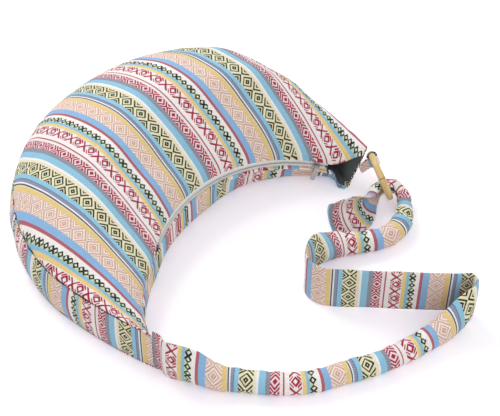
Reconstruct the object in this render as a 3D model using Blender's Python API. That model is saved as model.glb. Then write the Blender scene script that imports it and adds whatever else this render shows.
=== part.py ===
"""Crescent hobo bag in striped woven cotton, lying on its back panel.

Lengths are in metres. +X runs along the chord from the strap tip to the ring tip, +Y points to the
belly of the crescent and +Z is up. The origin is in the middle of the flat patch the bag rests on.
"""
import math

import bmesh
import bpy
import numpy as np

# Crescent outline, measured from the chord that joins the two tips
BELLY_DEPTH = 0.320
BELLY_RADIUS = 0.196
BELLY_CENTRE_Y = BELLY_DEPTH - BELLY_RADIUS
BELLY_LEAN = -0.0094
TIP_INSET = 0.014
TIP_HALF_SPAN = BELLY_RADIUS - TIP_INSET
REST_Y = 0.205

# Zip line: a circle in a plane that climbs towards the belly
ZIP_RADIUS = 0.187
ZIP_CENTRE_X = 0.003
ZIP_TOP_Y = 0.107
ZIP_TOP_Z = 0.051
ZIP_TILT = math.radians(16.7)
# The zip faces a little upwards, by this turn about its own line
ZIP_ROLL = math.radians(25.0)

# Panels and gusset
CLOTH = 0.0012
LINING = 0.0006
GAP = 0.0003
GUSSET_WIDTH = 0.060
GUSSET_BULGE = 0.006
GUSSET_REACH = 0.0035
SEAM_LIFT = 0.0015
SEAM_DIP = 0.008
DIP_FROM = (0.45, 0.85)
DOME_RISE = 0.074
DOME_SHIFT = 0.35
DOME_ALONG = (2.03, 1.58)
DOME_ACROSS = (1.125, 0.6)
RIDGE_RISE = 0.006
RIDGE_PLACE = 0.42
RIDGE_WIDTH = 0.15
DRAPE = 2.2
BACK_CURVE = 0.045
BACK_WALL = 0.018
BACK_RECESS = 0.009
RECESS_ANGLES = (0.0, math.radians(25.0))
# Past the zip's end the strap arm's inner edge leaves the zip's circle and runs straighter
ARM_SHIFT = 0.014
ARM_ANGLES = (math.radians(27.5), math.radians(50.0))
ARM_EASE = 0.35
EASE_ANGLES = (math.radians(52.0), math.radians(66.0))
# The gusset's low corner at the ring tip lies further in than its high one
TIP_SLANT = (-0.0105, 0.0125, 0.0)
SLANT_FROM = 0.82
TIP_FRONT_Z = 0.056
LIP_DELAY = math.radians(1.5)
LIP_DROP = math.radians(8.0)
LINING_MARGIN = 0.0045
LINING_STATIONS = slice(2, -2)

# Zip fastener, with heights measured along the zip plane's normal
ZIP_BAND = 0.008
PANEL_EDGE = 0.0039
# Past the zip's end the two panels are sewn edge to edge, over this short stretch
SEWN_EDGE = 0.0002
SEWN_WITHIN = math.radians(4.0)
TAPE_THICKNESS = 0.0008
TAPE_EDGE = 0.0012
TAPE_FAR_EDGE = 0.0064
TEETH_EDGE = 0.0007
TEETH_WIDTH = 0.0013
TEETH_HEIGHT = 0.0010
MOUTH_LENGTH = 0.0415
SLIDER_INSET = 0.0147
ZIP_END_INSET = 0.128
SLIDER_END_INSET = 0.0131
STOP_LENGTH = 0.0025

# Slider and puller
SLIDER_LENGTH = 0.009
SLIDER_WIDTH = 0.0084
SLIDER_PLATE = 0.0012
SLIDER_GAP = 0.0004
POST_WIDTH = 0.0008
FLANGE_WIDTH = 0.0010
BAIL_WIRE = 0.0012
BAIL_HALF_SPAN = 0.0029
PULLER_LENGTH = 0.024
PULLER_THICKNESS = 0.0012
EYE_WALL = 0.0007
EYE_CLEARANCE = 0.00035

# Bamboo ring and the cloth loop that ties it to the tip
RING_RADIUS = 0.026
RING_ROD = 0.0041
RING_CENTRE = (0.180, -0.0235)
RING_NORMAL = (0.76, -0.55, 0.35)
RING_FLOOR_GAP = 0.0005
LOOP_CLEARANCE = 0.0009
LOOP_CLOTH = 0.0015
LOOP_HEIGHT = 0.024
LOOP_TAB_HALF = 0.0016

# Shoulder strap: a flat cloth strap of two strips, standing on its edge
STRAP_WIDTH = 0.060
STRIP = 0.0015
STRAP_FLOOR_GAP = 0.0005
STRAP_START = ((0.0013, 0.0), (0.0090, 0.0))
RING_CLEARANCE = 0.0020
RING_HUG = math.radians(42.0)
RING_CURL = 320.0
RING_GATHER = 0.58
GATHER_REACH = (0.012, 0.055)
LIFT_REACH = (0.006, 0.032)
# Each point holds x and y of the strap's middle line, then its curl across and its lean, in degrees
# From the gusset's left end, along the floor, round the right bend and back
ROUTE_FROM_TIP = (
    (-0.0010, -0.0195, 25, 0), (0.0040, -0.0351, 70, 0), (0.0147, -0.0525, 160, 0),
    (0.0253, -0.0673, 260, 0), (0.0361, -0.0809, 310, 0), (0.0517, -0.1039, 330, 0),
    (0.0693, -0.1263, 330, 0), (0.0913, -0.1452, 330, 0), (0.1218, -0.1630, 330, 0),
    (0.1513, -0.1795, 330, 0), (0.1836, -0.1919, 325, 0), (0.2114, -0.2003, 300, 0),
    (0.2331, -0.2077, 220, 0), (0.2510, -0.2140, 110, 0), (0.2645, -0.2155, 30, 0),
    (0.2745, -0.2111, 0, 0), (0.2774, -0.2015, 0, 0), (0.2643, -0.1873, 0, 0),
)
# From the straight run to the ring, measured from the ring's centre
ROUTE_TO_RING = (
    (-0.1309, -0.1219, 0, 0), (-0.1635, -0.0796, 0, 0), (-0.1793, -0.0579, 0, 0),
    (-0.1825, -0.0441, 0, 0), (-0.1783, -0.0311, 0, 0), (-0.1668, -0.0231, 20, 0),
    (-0.1510, -0.0190, 70, 0), (-0.1344, -0.0187, 140, 0), (-0.1143, -0.0218, 230, 0),
    (-0.0965, -0.0323, 290, 0), (-0.0770, -0.0460, 315, 0), (-0.0600, -0.0550, 320, 0),
    (-0.0440, -0.0565, 320, 0), (-0.0290, -0.0530, 320, 0), (-0.0150, -0.0460, 320, 0),
    (-0.0030, -0.0375, 320, 0), (0.0055, -0.0280, 320, 0), (0.0055, -0.0170, 320, 0),
)
# The flap left over past the ring
ROUTE_FLAP = (
    (-0.0150, -0.0050, 290, -5), (-0.0290, -0.0070, 225, -15), (-0.0440, -0.0090, 180, -25),
    (-0.0600, -0.0070, 155, -32), (-0.0750, -0.0020, 145, -36), (-0.0870, 0.0030, 140, -38),
)

STATIONS = 37
ACROSS = (0.0, 0.05, 0.13, 0.26, 0.42, 0.60, 0.76, 0.89, 0.97, 1.0)
GUSSET_ROWS = 5
STRAP_STEPS = 2
STRAP_COLUMNS = 7
RING_STEPS = 40
ROD_SIDES = 10
EYE_SIDES = 14
LOOP_SIDES = 14
LOOP_STEPS = 6

X_AXIS = np.array((1.0, 0.0, 0.0))
ZIP_CLIMB = np.array((0.0, math.cos(ZIP_TILT), math.sin(ZIP_TILT)))
ZIP_UP = np.array((0.0, -math.sin(ZIP_TILT), math.cos(ZIP_TILT)))
ZIP_CENTRE = np.array((ZIP_CENTRE_X, ZIP_TOP_Y, ZIP_TOP_Z)) - ZIP_RADIUS * ZIP_CLIMB
TIP_ANGLE_IN = math.acos(-ZIP_CENTRE[1] / (ZIP_RADIUS * math.cos(ZIP_TILT)))
MOUTH_ANGLE = TIP_ANGLE_IN - MOUTH_LENGTH / ZIP_RADIUS
ZIP_CLOSED_ANGLE = MOUTH_ANGLE - SLIDER_INSET / ZIP_RADIUS
ZIP_END_ANGLE = ZIP_END_INSET / ZIP_RADIUS - TIP_ANGLE_IN
ZIP_OPEN_ANGLE = ZIP_END_ANGLE + SLIDER_END_INSET / ZIP_RADIUS
# The lower half of the outline is stretched so that it meets the chord at the tips
BELLY_DROP = BELLY_CENTRE_Y / math.sqrt(1.0 - (TIP_HALF_SPAN / BELLY_RADIUS) ** 2)
TIP_ANGLE_OUT = math.acos(-BELLY_CENTRE_Y / BELLY_DROP)
SEAM_TOP = GUSSET_WIDTH + 2 * SEAM_LIFT
ZIP_SIDE = TAPE_THICKNESS / 2 + GAP + CLOTH
ORIGIN = np.array((0.0, REST_Y, 0.0))


def unit(vector):
    vector = np.asarray(vector, dtype=float)
    return vector / np.linalg.norm(vector, axis=-1, keepdims=True)


def smooth_step(value, low, high):
    share = np.clip((value - low) / (high - low), 0.0, 1.0)
    return share * share * (3.0 - 2.0 * share)


def material(name, colour, roughness, metallic=0.0):
    made = bpy.data.materials.new(name)
    made.use_nodes = True
    shader = made.node_tree.nodes["Principled BSDF"]
    shader.inputs["Base Color"].default_value = (*colour, 1.0)
    shader.inputs["Roughness"].default_value = roughness
    shader.inputs["Metallic"].default_value = metallic
    return made


def add_object(name, points, faces, finish, pivot=(0.0, 0.0, 0.0)):
    """Link one closed mesh; pivot is the place of the object's origin."""
    pivot = np.asarray(pivot, dtype=float)
    mesh = bpy.data.meshes.new(name)
    mesh.from_pydata((np.asarray(points) - pivot).tolist(), [], faces)
    shape = bmesh.new()
    shape.from_mesh(mesh)
    bmesh.ops.recalc_face_normals(shape, faces=shape.faces)
    shape.to_mesh(mesh)
    shape.free()
    mesh.materials.append(finish)
    mesh.shade_smooth()
    mesh.set_sharp_from_angle(angle=math.radians(40.0))
    made = bpy.data.objects.new(name, mesh)
    made.location = pivot
    bpy.context.scene.collection.objects.link(made)
    return made


def grid_faces(rows, columns, start=0):
    """Two triangles for each cell, always cut the same way so that parallel sheets stay apart."""
    faces = []
    for row in range(rows - 1):
        for column in range(columns - 1):
            a = start + row * columns + column
            faces.append((a, a + 1, a + columns + 1))
            faces.append((a, a + columns + 1, a + columns))
    return faces


def sheet(name, outside, inside, finish):
    """A closed cloth sheet between two grids of points, with its rim walled in."""
    rows, columns = outside.shape[:2]
    count = rows * columns
    faces = grid_faces(rows, columns) + grid_faces(rows, columns, count)
    rim = [column for column in range(columns)]
    rim += [row * columns + columns - 1 for row in range(1, rows)]
    rim += [(rows - 1) * columns + column for column in range(columns - 2, -1, -1)]
    rim += [row * columns for row in range(rows - 2, 0, -1)]
    for here, there in zip(rim, rim[1:] + rim[:1]):
        faces.append((there, here, here + count, there + count))
    points = np.concatenate((outside.reshape(-1, 3), inside.reshape(-1, 3))) - ORIGIN
    return add_object(name, points, faces, finish)


def swept_bar(name, sections, finish, closed=False):
    """A bar through a list of equal closed sections; its ends are capped unless it closes on itself."""
    steps, sides = sections.shape[:2]
    faces = []
    for step in range(steps if closed else steps - 1):
        after = (step + 1) % steps
        for side in range(sides):
            beside = (side + 1) % sides
            here, there = step * sides, after * sides
            faces.append((here + side, here + beside, there + beside, there + side))
    if not closed:
        faces.append(tuple(reversed(range(sides))))
        faces.append(tuple(range((steps - 1) * sides, steps * sides)))
    return add_object(name, sections.reshape(-1, 3) - ORIGIN, faces, finish)


def outline(share, radius_change=0.0):
    """Points of the gusset seam; share runs from -1 at the strap tip to 1 at the ring tip."""
    angle = TIP_ANGLE_OUT * np.asarray(share, dtype=float)
    reach = np.where(np.cos(angle) > 0.0, BELLY_RADIUS, BELLY_DROP) + radius_change
    lean = BELLY_LEAN * (1.0 - np.square(share)) * (1.0 + np.asarray(share) / 2)
    x = (BELLY_RADIUS + radius_change) * np.sin(angle) - lean
    y = BELLY_CENTRE_Y + reach * np.cos(angle)
    return np.stack((x, y, np.zeros_like(x)), axis=-1)


def outline_heading(share):
    step = 1e-4
    return unit(outline(share + step) - outline(share - step))


def zip_point(angle, side=0.0, height=0.0):
    """A point by the zip line; side is out through the zip's face and height is across its width."""
    angle = np.asarray(angle, dtype=float)[..., None]
    side = np.asarray(side, dtype=float)[..., None]
    height = np.asarray(height, dtype=float)[..., None]
    inward = np.sin(angle) * X_AXIS + np.cos(angle) * ZIP_CLIMB
    out = side * math.cos(ZIP_ROLL) - height * math.sin(ZIP_ROLL)
    rise = side * math.sin(ZIP_ROLL) + height * math.cos(ZIP_ROLL)
    return ZIP_CENTRE + (ZIP_RADIUS - out) * inward + rise * ZIP_UP


def arm_shift(angle):
    """How far the inner edge lies from the zip's circle, along the chord; it fades at the tip."""
    ease = 1.0 - ARM_EASE * smooth_step(-angle, *EASE_ANGLES)
    return -ARM_SHIFT * smooth_step(-angle, *ARM_ANGLES) * ease


def edge_heights(angle):
    """Heights of a panel's edge and of its fold over the zip's line, for one row of angles."""
    sewn = smooth_step(ZIP_END_ANGLE - angle, GAP / ZIP_RADIUS, SEWN_WITHIN)
    return PANEL_EDGE + (SEWN_EDGE - PANEL_EDGE) * sewn, np.full_like(angle, ZIP_BAND)


def tip_slant(stations):
    """How far the low edge of the ring tip lies from its high edge."""
    return smooth_step(stations, SLANT_FROM, 1.0)[:, None] * np.array(TIP_SLANT)


def front_surface(stations, across):
    """Outer face of the front panel: rows are stations, columns run from the zip to the gusset seam."""
    angle = TIP_ANGLE_IN * stations
    seam = outline(stations)
    seam[:, 2] = SEAM_TOP - SEAM_DIP * smooth_step(-stations, *DIP_FROM)
    lift = smooth_step(angle, MOUTH_ANGLE, TIP_ANGLE_IN)
    start = zip_point(angle, ZIP_SIDE, ZIP_BAND)
    raise_by = lift * (TIP_FRONT_Z - start[:, 2])
    columns = []
    for height in edge_heights(angle):
        start = zip_point(angle, ZIP_SIDE, height)
        start[:, 0] += arm_shift(angle)
        start[:, 1] = np.maximum(start[:, 1], 0.0)
        start[:, 2] += raise_by
        columns.append(start)
    reach = np.where(stations > DOME_SHIFT, 1.0 - DOME_SHIFT, 1.0 + DOME_SHIFT)
    apart = np.abs(stations - DOME_SHIFT) / reach
    fade = (1.0 - np.minimum(apart, 1.0) ** DOME_ALONG[0]) ** DOME_ALONG[1]
    for share in np.transpose(across)[1:]:
        point = start + (seam - start) * share[:, None]
        point[:, 2] = seam[:, 2] - (seam - start)[:, 2] * (1.0 - share) ** DRAPE
        point[:, 2] += DOME_RISE * fade * np.sin(math.pi * share ** DOME_ACROSS[0]) ** DOME_ACROSS[1]
        point[:, 2] += RIDGE_RISE * fade * np.exp(-(((share - RIDGE_PLACE) / RIDGE_WIDTH) ** 2))
        columns.append(point)
    return np.stack(columns, axis=1)


def back_surface(stations, across):
    """Outer face of the back panel: a low wall under the zip that turns in to lie flat on the ground.

    The wall falls from the zip to BACK_WALL, and a quarter of an ellipse leads on to the ground."""
    angle = TIP_ANGLE_IN * stations
    seam = outline(stations) + tip_slant(stations)
    drop = smooth_step(angle, MOUTH_ANGLE + LIP_DELAY, MOUTH_ANGLE + LIP_DELAY + LIP_DROP)
    lower_by = drop * (zip_point(angle, ZIP_SIDE, -ZIP_BAND)[:, 2] - SEAM_LIFT)
    columns = []
    for height in edge_heights(angle):
        start = zip_point(angle, ZIP_SIDE, -height) + tip_slant(stations)
        start[:, 0] += arm_shift(angle)
        start[:, 2] -= lower_by
        columns.append(start)
    width = np.linalg.norm((seam - start)[:, :2], axis=1)
    inward = (seam - start) / width[:, None]
    curve = np.minimum(BACK_CURVE, 0.8 * width)
    recess = np.minimum(BACK_RECESS * smooth_step(angle, *RECESS_ANGLES), 0.4 * curve)
    wall = np.minimum(BACK_WALL, 0.45 * start[:, 2])
    turn_up = np.minimum(0.012, 0.15 * width)
    for share in np.transpose(across)[1:]:
        run = share * width
        turn = math.pi * np.minimum(run / curve, 1.0)
        under = turn > math.pi / 2
        reach = np.where(under, curve - (curve - recess) * np.sin(turn), recess * np.sin(turn))
        reach = np.where(run > curve, run, reach)
        point = start + reach[:, None] * inward
        point[:, 2] = wall + np.where(under, wall, start[:, 2] - wall) * np.cos(turn)
        point[:, 2] += SEAM_LIFT * smooth_step(run, width - turn_up, width)
        columns.append(point)
    return np.stack(columns, axis=1)


def directions(grid, axis):
    """Mean direction of the two segments that meet at each point, shorter where they bend."""
    steps = unit(np.diff(grid, axis=axis))
    before = np.concatenate((steps.take([0], axis), steps), axis=axis)
    after = np.concatenate((steps, steps.take([-1], axis)), axis=axis)
    return (before + after) / 2.0


def offset(grid, depth, side):
    """Points at a depth behind a grid; side is 1 where row x column points out of the bag."""
    along = directions(grid, 0)
    beside = directions(grid, 1)
    mitre = np.linalg.norm(along, axis=-1, keepdims=True) * np.linalg.norm(beside, axis=-1, keepdims=True)
    return grid - side * depth / np.maximum(mitre, 0.5) * unit(np.cross(along, beside))


def gusset_surface(stations, low, high):
    rows = []
    for share in np.linspace(0.0, 1.0, GUSSET_ROWS):
        bulge = GUSSET_BULGE * 4.0 * share * (1.0 - share) * (1.0 - np.abs(stations) ** 6)
        point = outline(stations, bulge) + (1.0 - share) * tip_slant(stations)
        point[:, 2] = low + (high - low) * share
        rows.append(point)
    return np.stack(rows, axis=1)


def make_shell(finish, lining_finish):
    stations = np.linspace(-1.0, 1.0, STATIONS)
    across = np.tile(ACROSS, (STATIONS, 1))
    front = front_surface(stations, across)
    front_inside = offset(front, CLOTH, 1)
    sheet("front_panel", front, front_inside, finish)
    back = back_surface(stations, across)
    back_inside = offset(back, CLOTH, -1)
    sheet("back_panel", back, back_inside, finish)
    width = np.linalg.norm(outline(stations)[:, :2] - zip_point(TIP_ANGLE_IN * stations)[:, :2], axis=1)
    from_seam = np.linalg.norm((front_inside - front[:, -1:])[..., :2], axis=2)
    top = np.where(from_seam < GUSSET_REACH, front_inside[..., 2], SEAM_TOP).min(axis=1) - GAP
    bottom = np.maximum(back[:, -1, 2], back_inside[:, -1, 2]) + GAP
    gusset = gusset_surface(stations, bottom, top)
    sheet("gusset", gusset, offset(gusset, CLOTH, -1), finish)

    depth = ZIP_SIDE + TAPE_THICKNESS / 2 + GAP
    inner_across = across[LINING_STATIONS, :-1] / across[0, -2]
    inner_across = inner_across * (1.0 - LINING_MARGIN / width[LINING_STATIONS])[:, None]
    inner = stations[LINING_STATIONS]
    front = front_surface(inner, inner_across)
    sheet("front_lining", offset(front, depth, 1), offset(front, depth + LINING, 1), lining_finish)
    back = back_surface(inner, inner_across)
    sheet("back_lining", offset(back, depth, -1), offset(back, depth + LINING, -1), lining_finish)
    low = bottom[LINING_STATIONS] + CLOTH
    high = top[LINING_STATIONS] - CLOTH
    gusset = gusset_surface(inner, low, high)
    behind = CLOTH + 2 * GAP
    sheet("gusset_lining", offset(gusset, behind, -1), offset(gusset, behind + LINING, -1), lining_finish)


def zip_bar(name, angles, sides, heights, finish):
    """A bar along the zip line with a square section, between two angles."""
    between = TIP_ANGLE_IN * np.linspace(-1.0, 1.0, STATIONS)
    between = between[(between > angles[0] + 1e-3) & (between < angles[1] - 1e-3)]
    turn = np.concatenate(([angles[0]], between, [angles[1]]))
    corners = [(sides[0], heights[0]), (sides[1], heights[0])]
    corners += [(sides[1], heights[1]), (sides[0], heights[1])]
    sections = np.stack([zip_point(turn, side, height) for side, height in corners], axis=1)
    return swept_bar(name, sections, finish)


def make_zip(tape_finish, teeth_finish, metal):
    tape = (-TAPE_THICKNESS / 2, TAPE_THICKNESS / 2)
    teeth = (tape[1] + GAP, tape[1] + GAP + TEETH_HEIGHT)
    teeth_end = TEETH_EDGE + TEETH_WIDTH
    stop = STOP_LENGTH / ZIP_RADIUS
    gap = GAP / ZIP_RADIUS
    last = MOUTH_ANGLE - 3.0 * gap
    closed_end = last - stop - gap
    open_end = ZIP_END_ANGLE + stop + gap
    for name, way in (("front", 1), ("back", -1)):
        edges = (way * TAPE_EDGE, way * TAPE_FAR_EDGE)
        zip_bar("zip_tape_" + name, (ZIP_END_ANGLE, last), tape, edges, tape_finish)
        heights = (way * TEETH_EDGE, way * teeth_end)
        zip_bar("zip_teeth_" + name, (open_end, closed_end), teeth, heights, teeth_finish)
        zip_bar("zip_top_stop_" + name, (closed_end + gap, last), teeth, heights, metal)
    across = (-teeth_end, teeth_end)
    zip_bar("zip_bottom_stop", (ZIP_END_ANGLE, open_end - gap), teeth, across, metal)


def slider_frame(angle):
    """Place and directions at one point of the zip: along it, out through its face and across it."""
    along = math.cos(angle) * X_AXIS - math.sin(angle) * ZIP_CLIMB
    level = -(math.sin(angle) * X_AXIS + math.cos(angle) * ZIP_CLIMB)
    outward = math.cos(ZIP_ROLL) * level + math.sin(ZIP_ROLL) * ZIP_UP
    upward = math.cos(ZIP_ROLL) * ZIP_UP - math.sin(ZIP_ROLL) * level
    return zip_point(angle), along, outward, upward


def extrude(name, place, axes, outline_points, depth, finish, pivot=None):
    """A closed outline in two axes, carried evenly to both sides of the third."""
    flat = np.array([place + u * axes[0] + v * axes[1] for u, v in outline_points])
    sections = np.stack((flat - depth * axes[2], flat + depth * axes[2]))
    count = len(flat)
    faces = [tuple(reversed(range(count))), tuple(range(count, 2 * count))]
    for here in range(count):
        there = (here + 1) % count
        faces.append((here, there, there + count, here + count))
    middle = None if pivot is None else pivot - ORIGIN
    points = sections.reshape(-1, 3) - ORIGIN
    return add_object(name, points, faces, finish, (0.0, 0.0, 0.0) if middle is None else middle)


def make_slider(metal):
    place, along, outward, upward = slider_frame(ZIP_CLOSED_ANGLE)
    half = SLIDER_WIDTH / 2
    inner = -(TAPE_THICKNESS / 2 + GAP + LINING + SLIDER_GAP)
    outer = ZIP_SIDE + SLIDER_GAP
    flange_low = TEETH_EDGE + TEETH_WIDTH + SLIDER_GAP
    flange_high = flange_low + FLANGE_WIDTH
    flange_side = TAPE_THICKNESS / 2 + SLIDER_GAP
    post = POST_WIDTH / 2
    right = [(inner - SLIDER_PLATE, half), (inner, half), (inner, post), (outer, post), (outer, flange_low)]
    right += [(flange_side, flange_low), (flange_side, flange_high), (outer, flange_high), (outer, half)]
    right += [(outer + SLIDER_PLATE, half)]
    left = [(side, -height) for side, height in reversed(right)]
    axes = (outward, upward, along)
    body = extrude("zip_slider", place, axes, right + left, SLIDER_LENGTH / 2, metal, ZIP_CENTRE)

    eye_inner = BAIL_WIRE / math.sqrt(2.0) + EYE_CLEARANCE
    eye_outer = eye_inner + EYE_WALL
    bar = outer + SLIDER_PLATE + GAP + eye_outer
    inside = BAIL_HALF_SPAN
    outside = BAIL_HALF_SPAN + BAIL_WIRE
    foot = outer + SLIDER_PLATE / 2
    arch = [(-outside, foot), (-inside, foot), (-inside, bar - BAIL_WIRE / 2), (inside, bar - BAIL_WIRE / 2)]
    arch += [(inside, foot), (outside, foot)]
    arch += [(outside, bar + BAIL_WIRE / 2), (-outside, bar + BAIL_WIRE / 2)]
    bail = extrude("bail_guide", place, (along, outward, upward), arch, BAIL_WIRE / 2, metal)
    bail.hide_render = True
    bail.display_type = "WIRE"
    join = body.modifiers.new("bail", "BOOLEAN")
    join.operation = "UNION"
    join.object = bail

    pivot = place + bar * outward
    hang = unit(np.array((0.0, 0.0, -1.0)) + along[2] * along)
    aside = np.cross(along, hang)
    half_plate = PULLER_THICKNESS / 2
    start = math.asin(half_plate / eye_outer)
    turns = np.linspace(start, 2.0 * math.pi - start, EYE_SIDES - 2)
    rim = [(PULLER_LENGTH - eye_outer, -half_plate), (PULLER_LENGTH - eye_outer, half_plate)]
    rim += [(eye_outer * math.cos(turn), eye_outer * math.sin(turn)) for turn in turns]
    hole_turns = [-start / 2, start / 2] + list(turns)
    hole = [(eye_inner * math.cos(turn), eye_inner * math.sin(turn)) for turn in hole_turns]
    depth = BAIL_HALF_SPAN - GAP
    tube_prism("zip_puller", [
        [pivot + u * hang + v * aside + w * along for u, v in loop]
        for loop, w in ((rim, -depth), (rim, depth), (hole, depth), (hole, -depth))
    ], metal, pivot - ORIGIN)
    return pivot


def tube_prism(name, loops, finish, pivot=(0.0, 0.0, 0.0)):
    """A body with one hole through it, from four equal loops: round the outside and back inside."""
    loops = np.array(loops)
    turns, count = loops.shape[:2]
    faces = []
    for turn in range(turns):
        after = (turn + 1) % turns
        for here in range(count):
            there = (here + 1) % count
            near, far = turn * count, after * count
            faces.append((near + here, near + there, far + there, far + here))
    return add_object(name, loops.reshape(-1, 3) - ORIGIN, faces, finish, pivot)


def ring_frame():
    normal = unit(RING_NORMAL)
    level = unit(np.array((-normal[1], normal[0], 0.0)))
    up = np.cross(normal, level)
    fall = (RING_RADIUS * up[2]) + RING_ROD
    centre = np.array((*RING_CENTRE, fall + RING_FLOOR_GAP))
    return centre, normal, level, up


def make_ring(bamboo):
    centre, normal, level, up = ring_frame()
    sections = []
    sides = np.linspace(0.0, 2.0 * math.pi, ROD_SIDES, endpoint=False)[:, None]
    for turn in np.linspace(0.0, 2.0 * math.pi, RING_STEPS, endpoint=False):
        out = math.cos(turn) * level + math.sin(turn) * up
        reach = RING_RADIUS + RING_ROD * np.cos(sides)
        sections.append(centre + reach * out + RING_ROD * np.sin(sides) * normal)
    ring = swept_bar("bamboo_ring", np.array(sections), bamboo, closed=True)
    return ring


def make_ring_loop(finish):
    """The loop is turned about the ring's axis, so it follows the rod that runs through it."""
    centre, normal, level, up = ring_frame()
    tip = outline(1.0) + (2 * GAP + LOOP_TAB_HALF) * outline_heading(1.0)
    tip = tip + (1.0 - centre[2] / SEAM_TOP) * np.array(TIP_SLANT)
    tip[2] = centre[2]
    rod = centre + RING_RADIUS * unit((tip - centre) - np.dot(tip - centre, normal) * normal)
    out = (rod - centre) / RING_RADIUS
    away = (np.dot(tip - rod, out), np.dot(tip - rod, normal))
    reach = math.hypot(*away)
    inner = RING_ROD + LOOP_CLEARANCE
    outer = inner + LOOP_CLOTH
    heading = math.atan2(away[1], away[0])
    start = math.asin(LOOP_TAB_HALF / outer)
    turns = np.linspace(start, 2.0 * math.pi - start, LOOP_SIDES - 2)
    rim = [(reach, -LOOP_TAB_HALF), (reach, LOOP_TAB_HALF)]
    rim += [(outer * math.cos(turn), outer * math.sin(turn)) for turn in turns]
    hole_turns = [-start / 2, start / 2] + list(turns)
    hole = [(inner * math.cos(turn), inner * math.sin(turn)) for turn in hole_turns]
    half_angle = LOOP_HEIGHT / (2.0 * RING_RADIUS)
    loops = []
    for profile, ways in ((rim, np.linspace(-half_angle, half_angle, LOOP_STEPS)),
                          (hole, np.linspace(half_angle, -half_angle, LOOP_STEPS))):
        for way in ways:
            turned = math.cos(way) * out + math.sin(way) * np.cross(normal, out)
            loop = []
            for u, v in profile:
                radial = u * math.cos(heading) - v * math.sin(heading)
                sideways = u * math.sin(heading) + v * math.cos(heading)
                loop.append(centre + (RING_RADIUS + radial) * turned + sideways * normal)
            loops.append(loop)
    tube_prism("ring_loop", loops, finish)


def ring_crossing():
    """Where the strap's middle line passes the ring: its bunch lies against the lower front of the rod."""
    centre, normal, level, up = ring_frame()
    bunch = RING_GATHER * STRAP_WIDTH / math.radians(RING_CURL) + STRIP + GAP
    aside = RING_RADIUS - RING_ROD - RING_CLEARANCE - bunch
    return centre - aside * (math.cos(RING_HUG) * level + math.sin(RING_HUG) * up)


def strap_route():
    """Middle line, curl and lean of the strap, as one smooth curve through its chosen points."""
    centre = ring_frame()[0]
    start = outline(-1.0)
    heading = -outline_heading(-1.0)
    wall = np.array((-heading[1], heading[0], 0.0)) * CLOTH / 2
    points = [(*(start + wall + way * heading)[:2], curl, 0.0) for way, curl in STRAP_START]
    points += [(start[0] + x, start[1] + y, curl, lean) for x, y, curl, lean in ROUTE_FROM_TIP]
    points += [(centre[0] + x, centre[1] + y, curl, lean) for x, y, curl, lean in ROUTE_TO_RING]
    points.append((*ring_crossing()[:2], RING_CURL, 0.0))
    points += [(centre[0] + x, centre[1] + y, curl, lean) for x, y, curl, lean in ROUTE_FLAP]
    points = np.array(points)
    padded = np.vstack((2 * points[0] - points[1], points, 2 * points[-1] - points[-2]))
    share = np.arange(STRAP_STEPS)[:, None] / STRAP_STEPS
    pieces = []
    for a, b, c, d in zip(padded, padded[1:], padded[2:], padded[3:]):
        bend = (2 * a - 5 * b + 4 * c - d) * share ** 2 + (3 * b - a - 3 * c + d) * share ** 3
        pieces.append(b + 0.5 * ((c - a) * share + bend))
    return np.vstack(pieces + [points[-1:]])


def make_strap(finish):
    """Two strips back to back, curled across their width about the middle line."""
    crossing = ring_crossing()
    route = strap_route()
    path = np.column_stack((route[:, :2], np.zeros(len(route))))
    away = np.linalg.norm(path[:, :2] - crossing[:2], axis=1)
    gather = RING_GATHER + (1.0 - RING_GATHER) * smooth_step(away, *GATHER_REACH)
    curl = np.radians(route[:, 2])
    curl = np.where(np.abs(curl) < 1e-3, 1e-3, curl)
    radius = (gather * STRAP_WIDTH / curl)[:, None]
    bend = curl[:, None] * np.linspace(-0.5, 0.5, STRAP_COLUMNS)
    lean = np.radians(route[:, 3])[:, None]
    along = unit(np.gradient(path, axis=0))
    flat = np.cross(along, (0.0, 0.0, 1.0))
    upright = np.array((0.0, 0.0, 1.0))
    upward = np.cos(lean) * upright - np.sin(lean) * flat
    face = np.cos(lean) * flat + np.sin(lean) * upright
    middle = radius * (1.0 - np.cos(np.minimum(np.abs(bend), math.pi))).max(axis=1, keepdims=True) / 2

    def layer(depth):
        out = radius * (np.cos(bend) - 1.0) + middle + depth * np.cos(bend)
        rise = (radius + depth) * np.sin(bend)
        return path[:, None] + out[..., None] * face[:, None] + rise[..., None] * upward[:, None]

    near = GAP / 2
    far = near + STRIP
    ground = STRAP_FLOOR_GAP - np.minimum(layer(far)[..., 2], layer(-far)[..., 2]).min(axis=1)
    lift = 1.0 - smooth_step(away, *LIFT_REACH)
    path[:, 2] = ground + lift * np.maximum(crossing[2] - ground, 0.0)
    sheet("strap_outer_strip", layer(far), layer(near), finish)
    sheet("strap_inner_strip", layer(-far), layer(-near), finish)


def build():
    for old in list(bpy.data.objects):
        bpy.data.objects.remove(old, do_unlink=True)
    striped = material("striped_cotton", (0.62, 0.52, 0.48), 0.9)
    lining = material("grey_lining", (0.06, 0.065, 0.07), 0.85)
    tape = material("zip_tape", (0.74, 0.74, 0.72), 0.7)
    teeth = material("zip_teeth", (0.78, 0.78, 0.76), 0.45)
    metal = material("nickel", (0.70, 0.70, 0.70), 0.3, 1.0)
    bamboo = material("bamboo", (0.72, 0.50, 0.22), 0.45)
    make_shell(striped, lining)
    make_zip(tape, teeth, metal)
    make_slider(metal)
    make_ring(bamboo)
    make_ring_loop(striped)
    make_strap(striped)


build()
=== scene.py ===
import functools
import math

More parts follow.
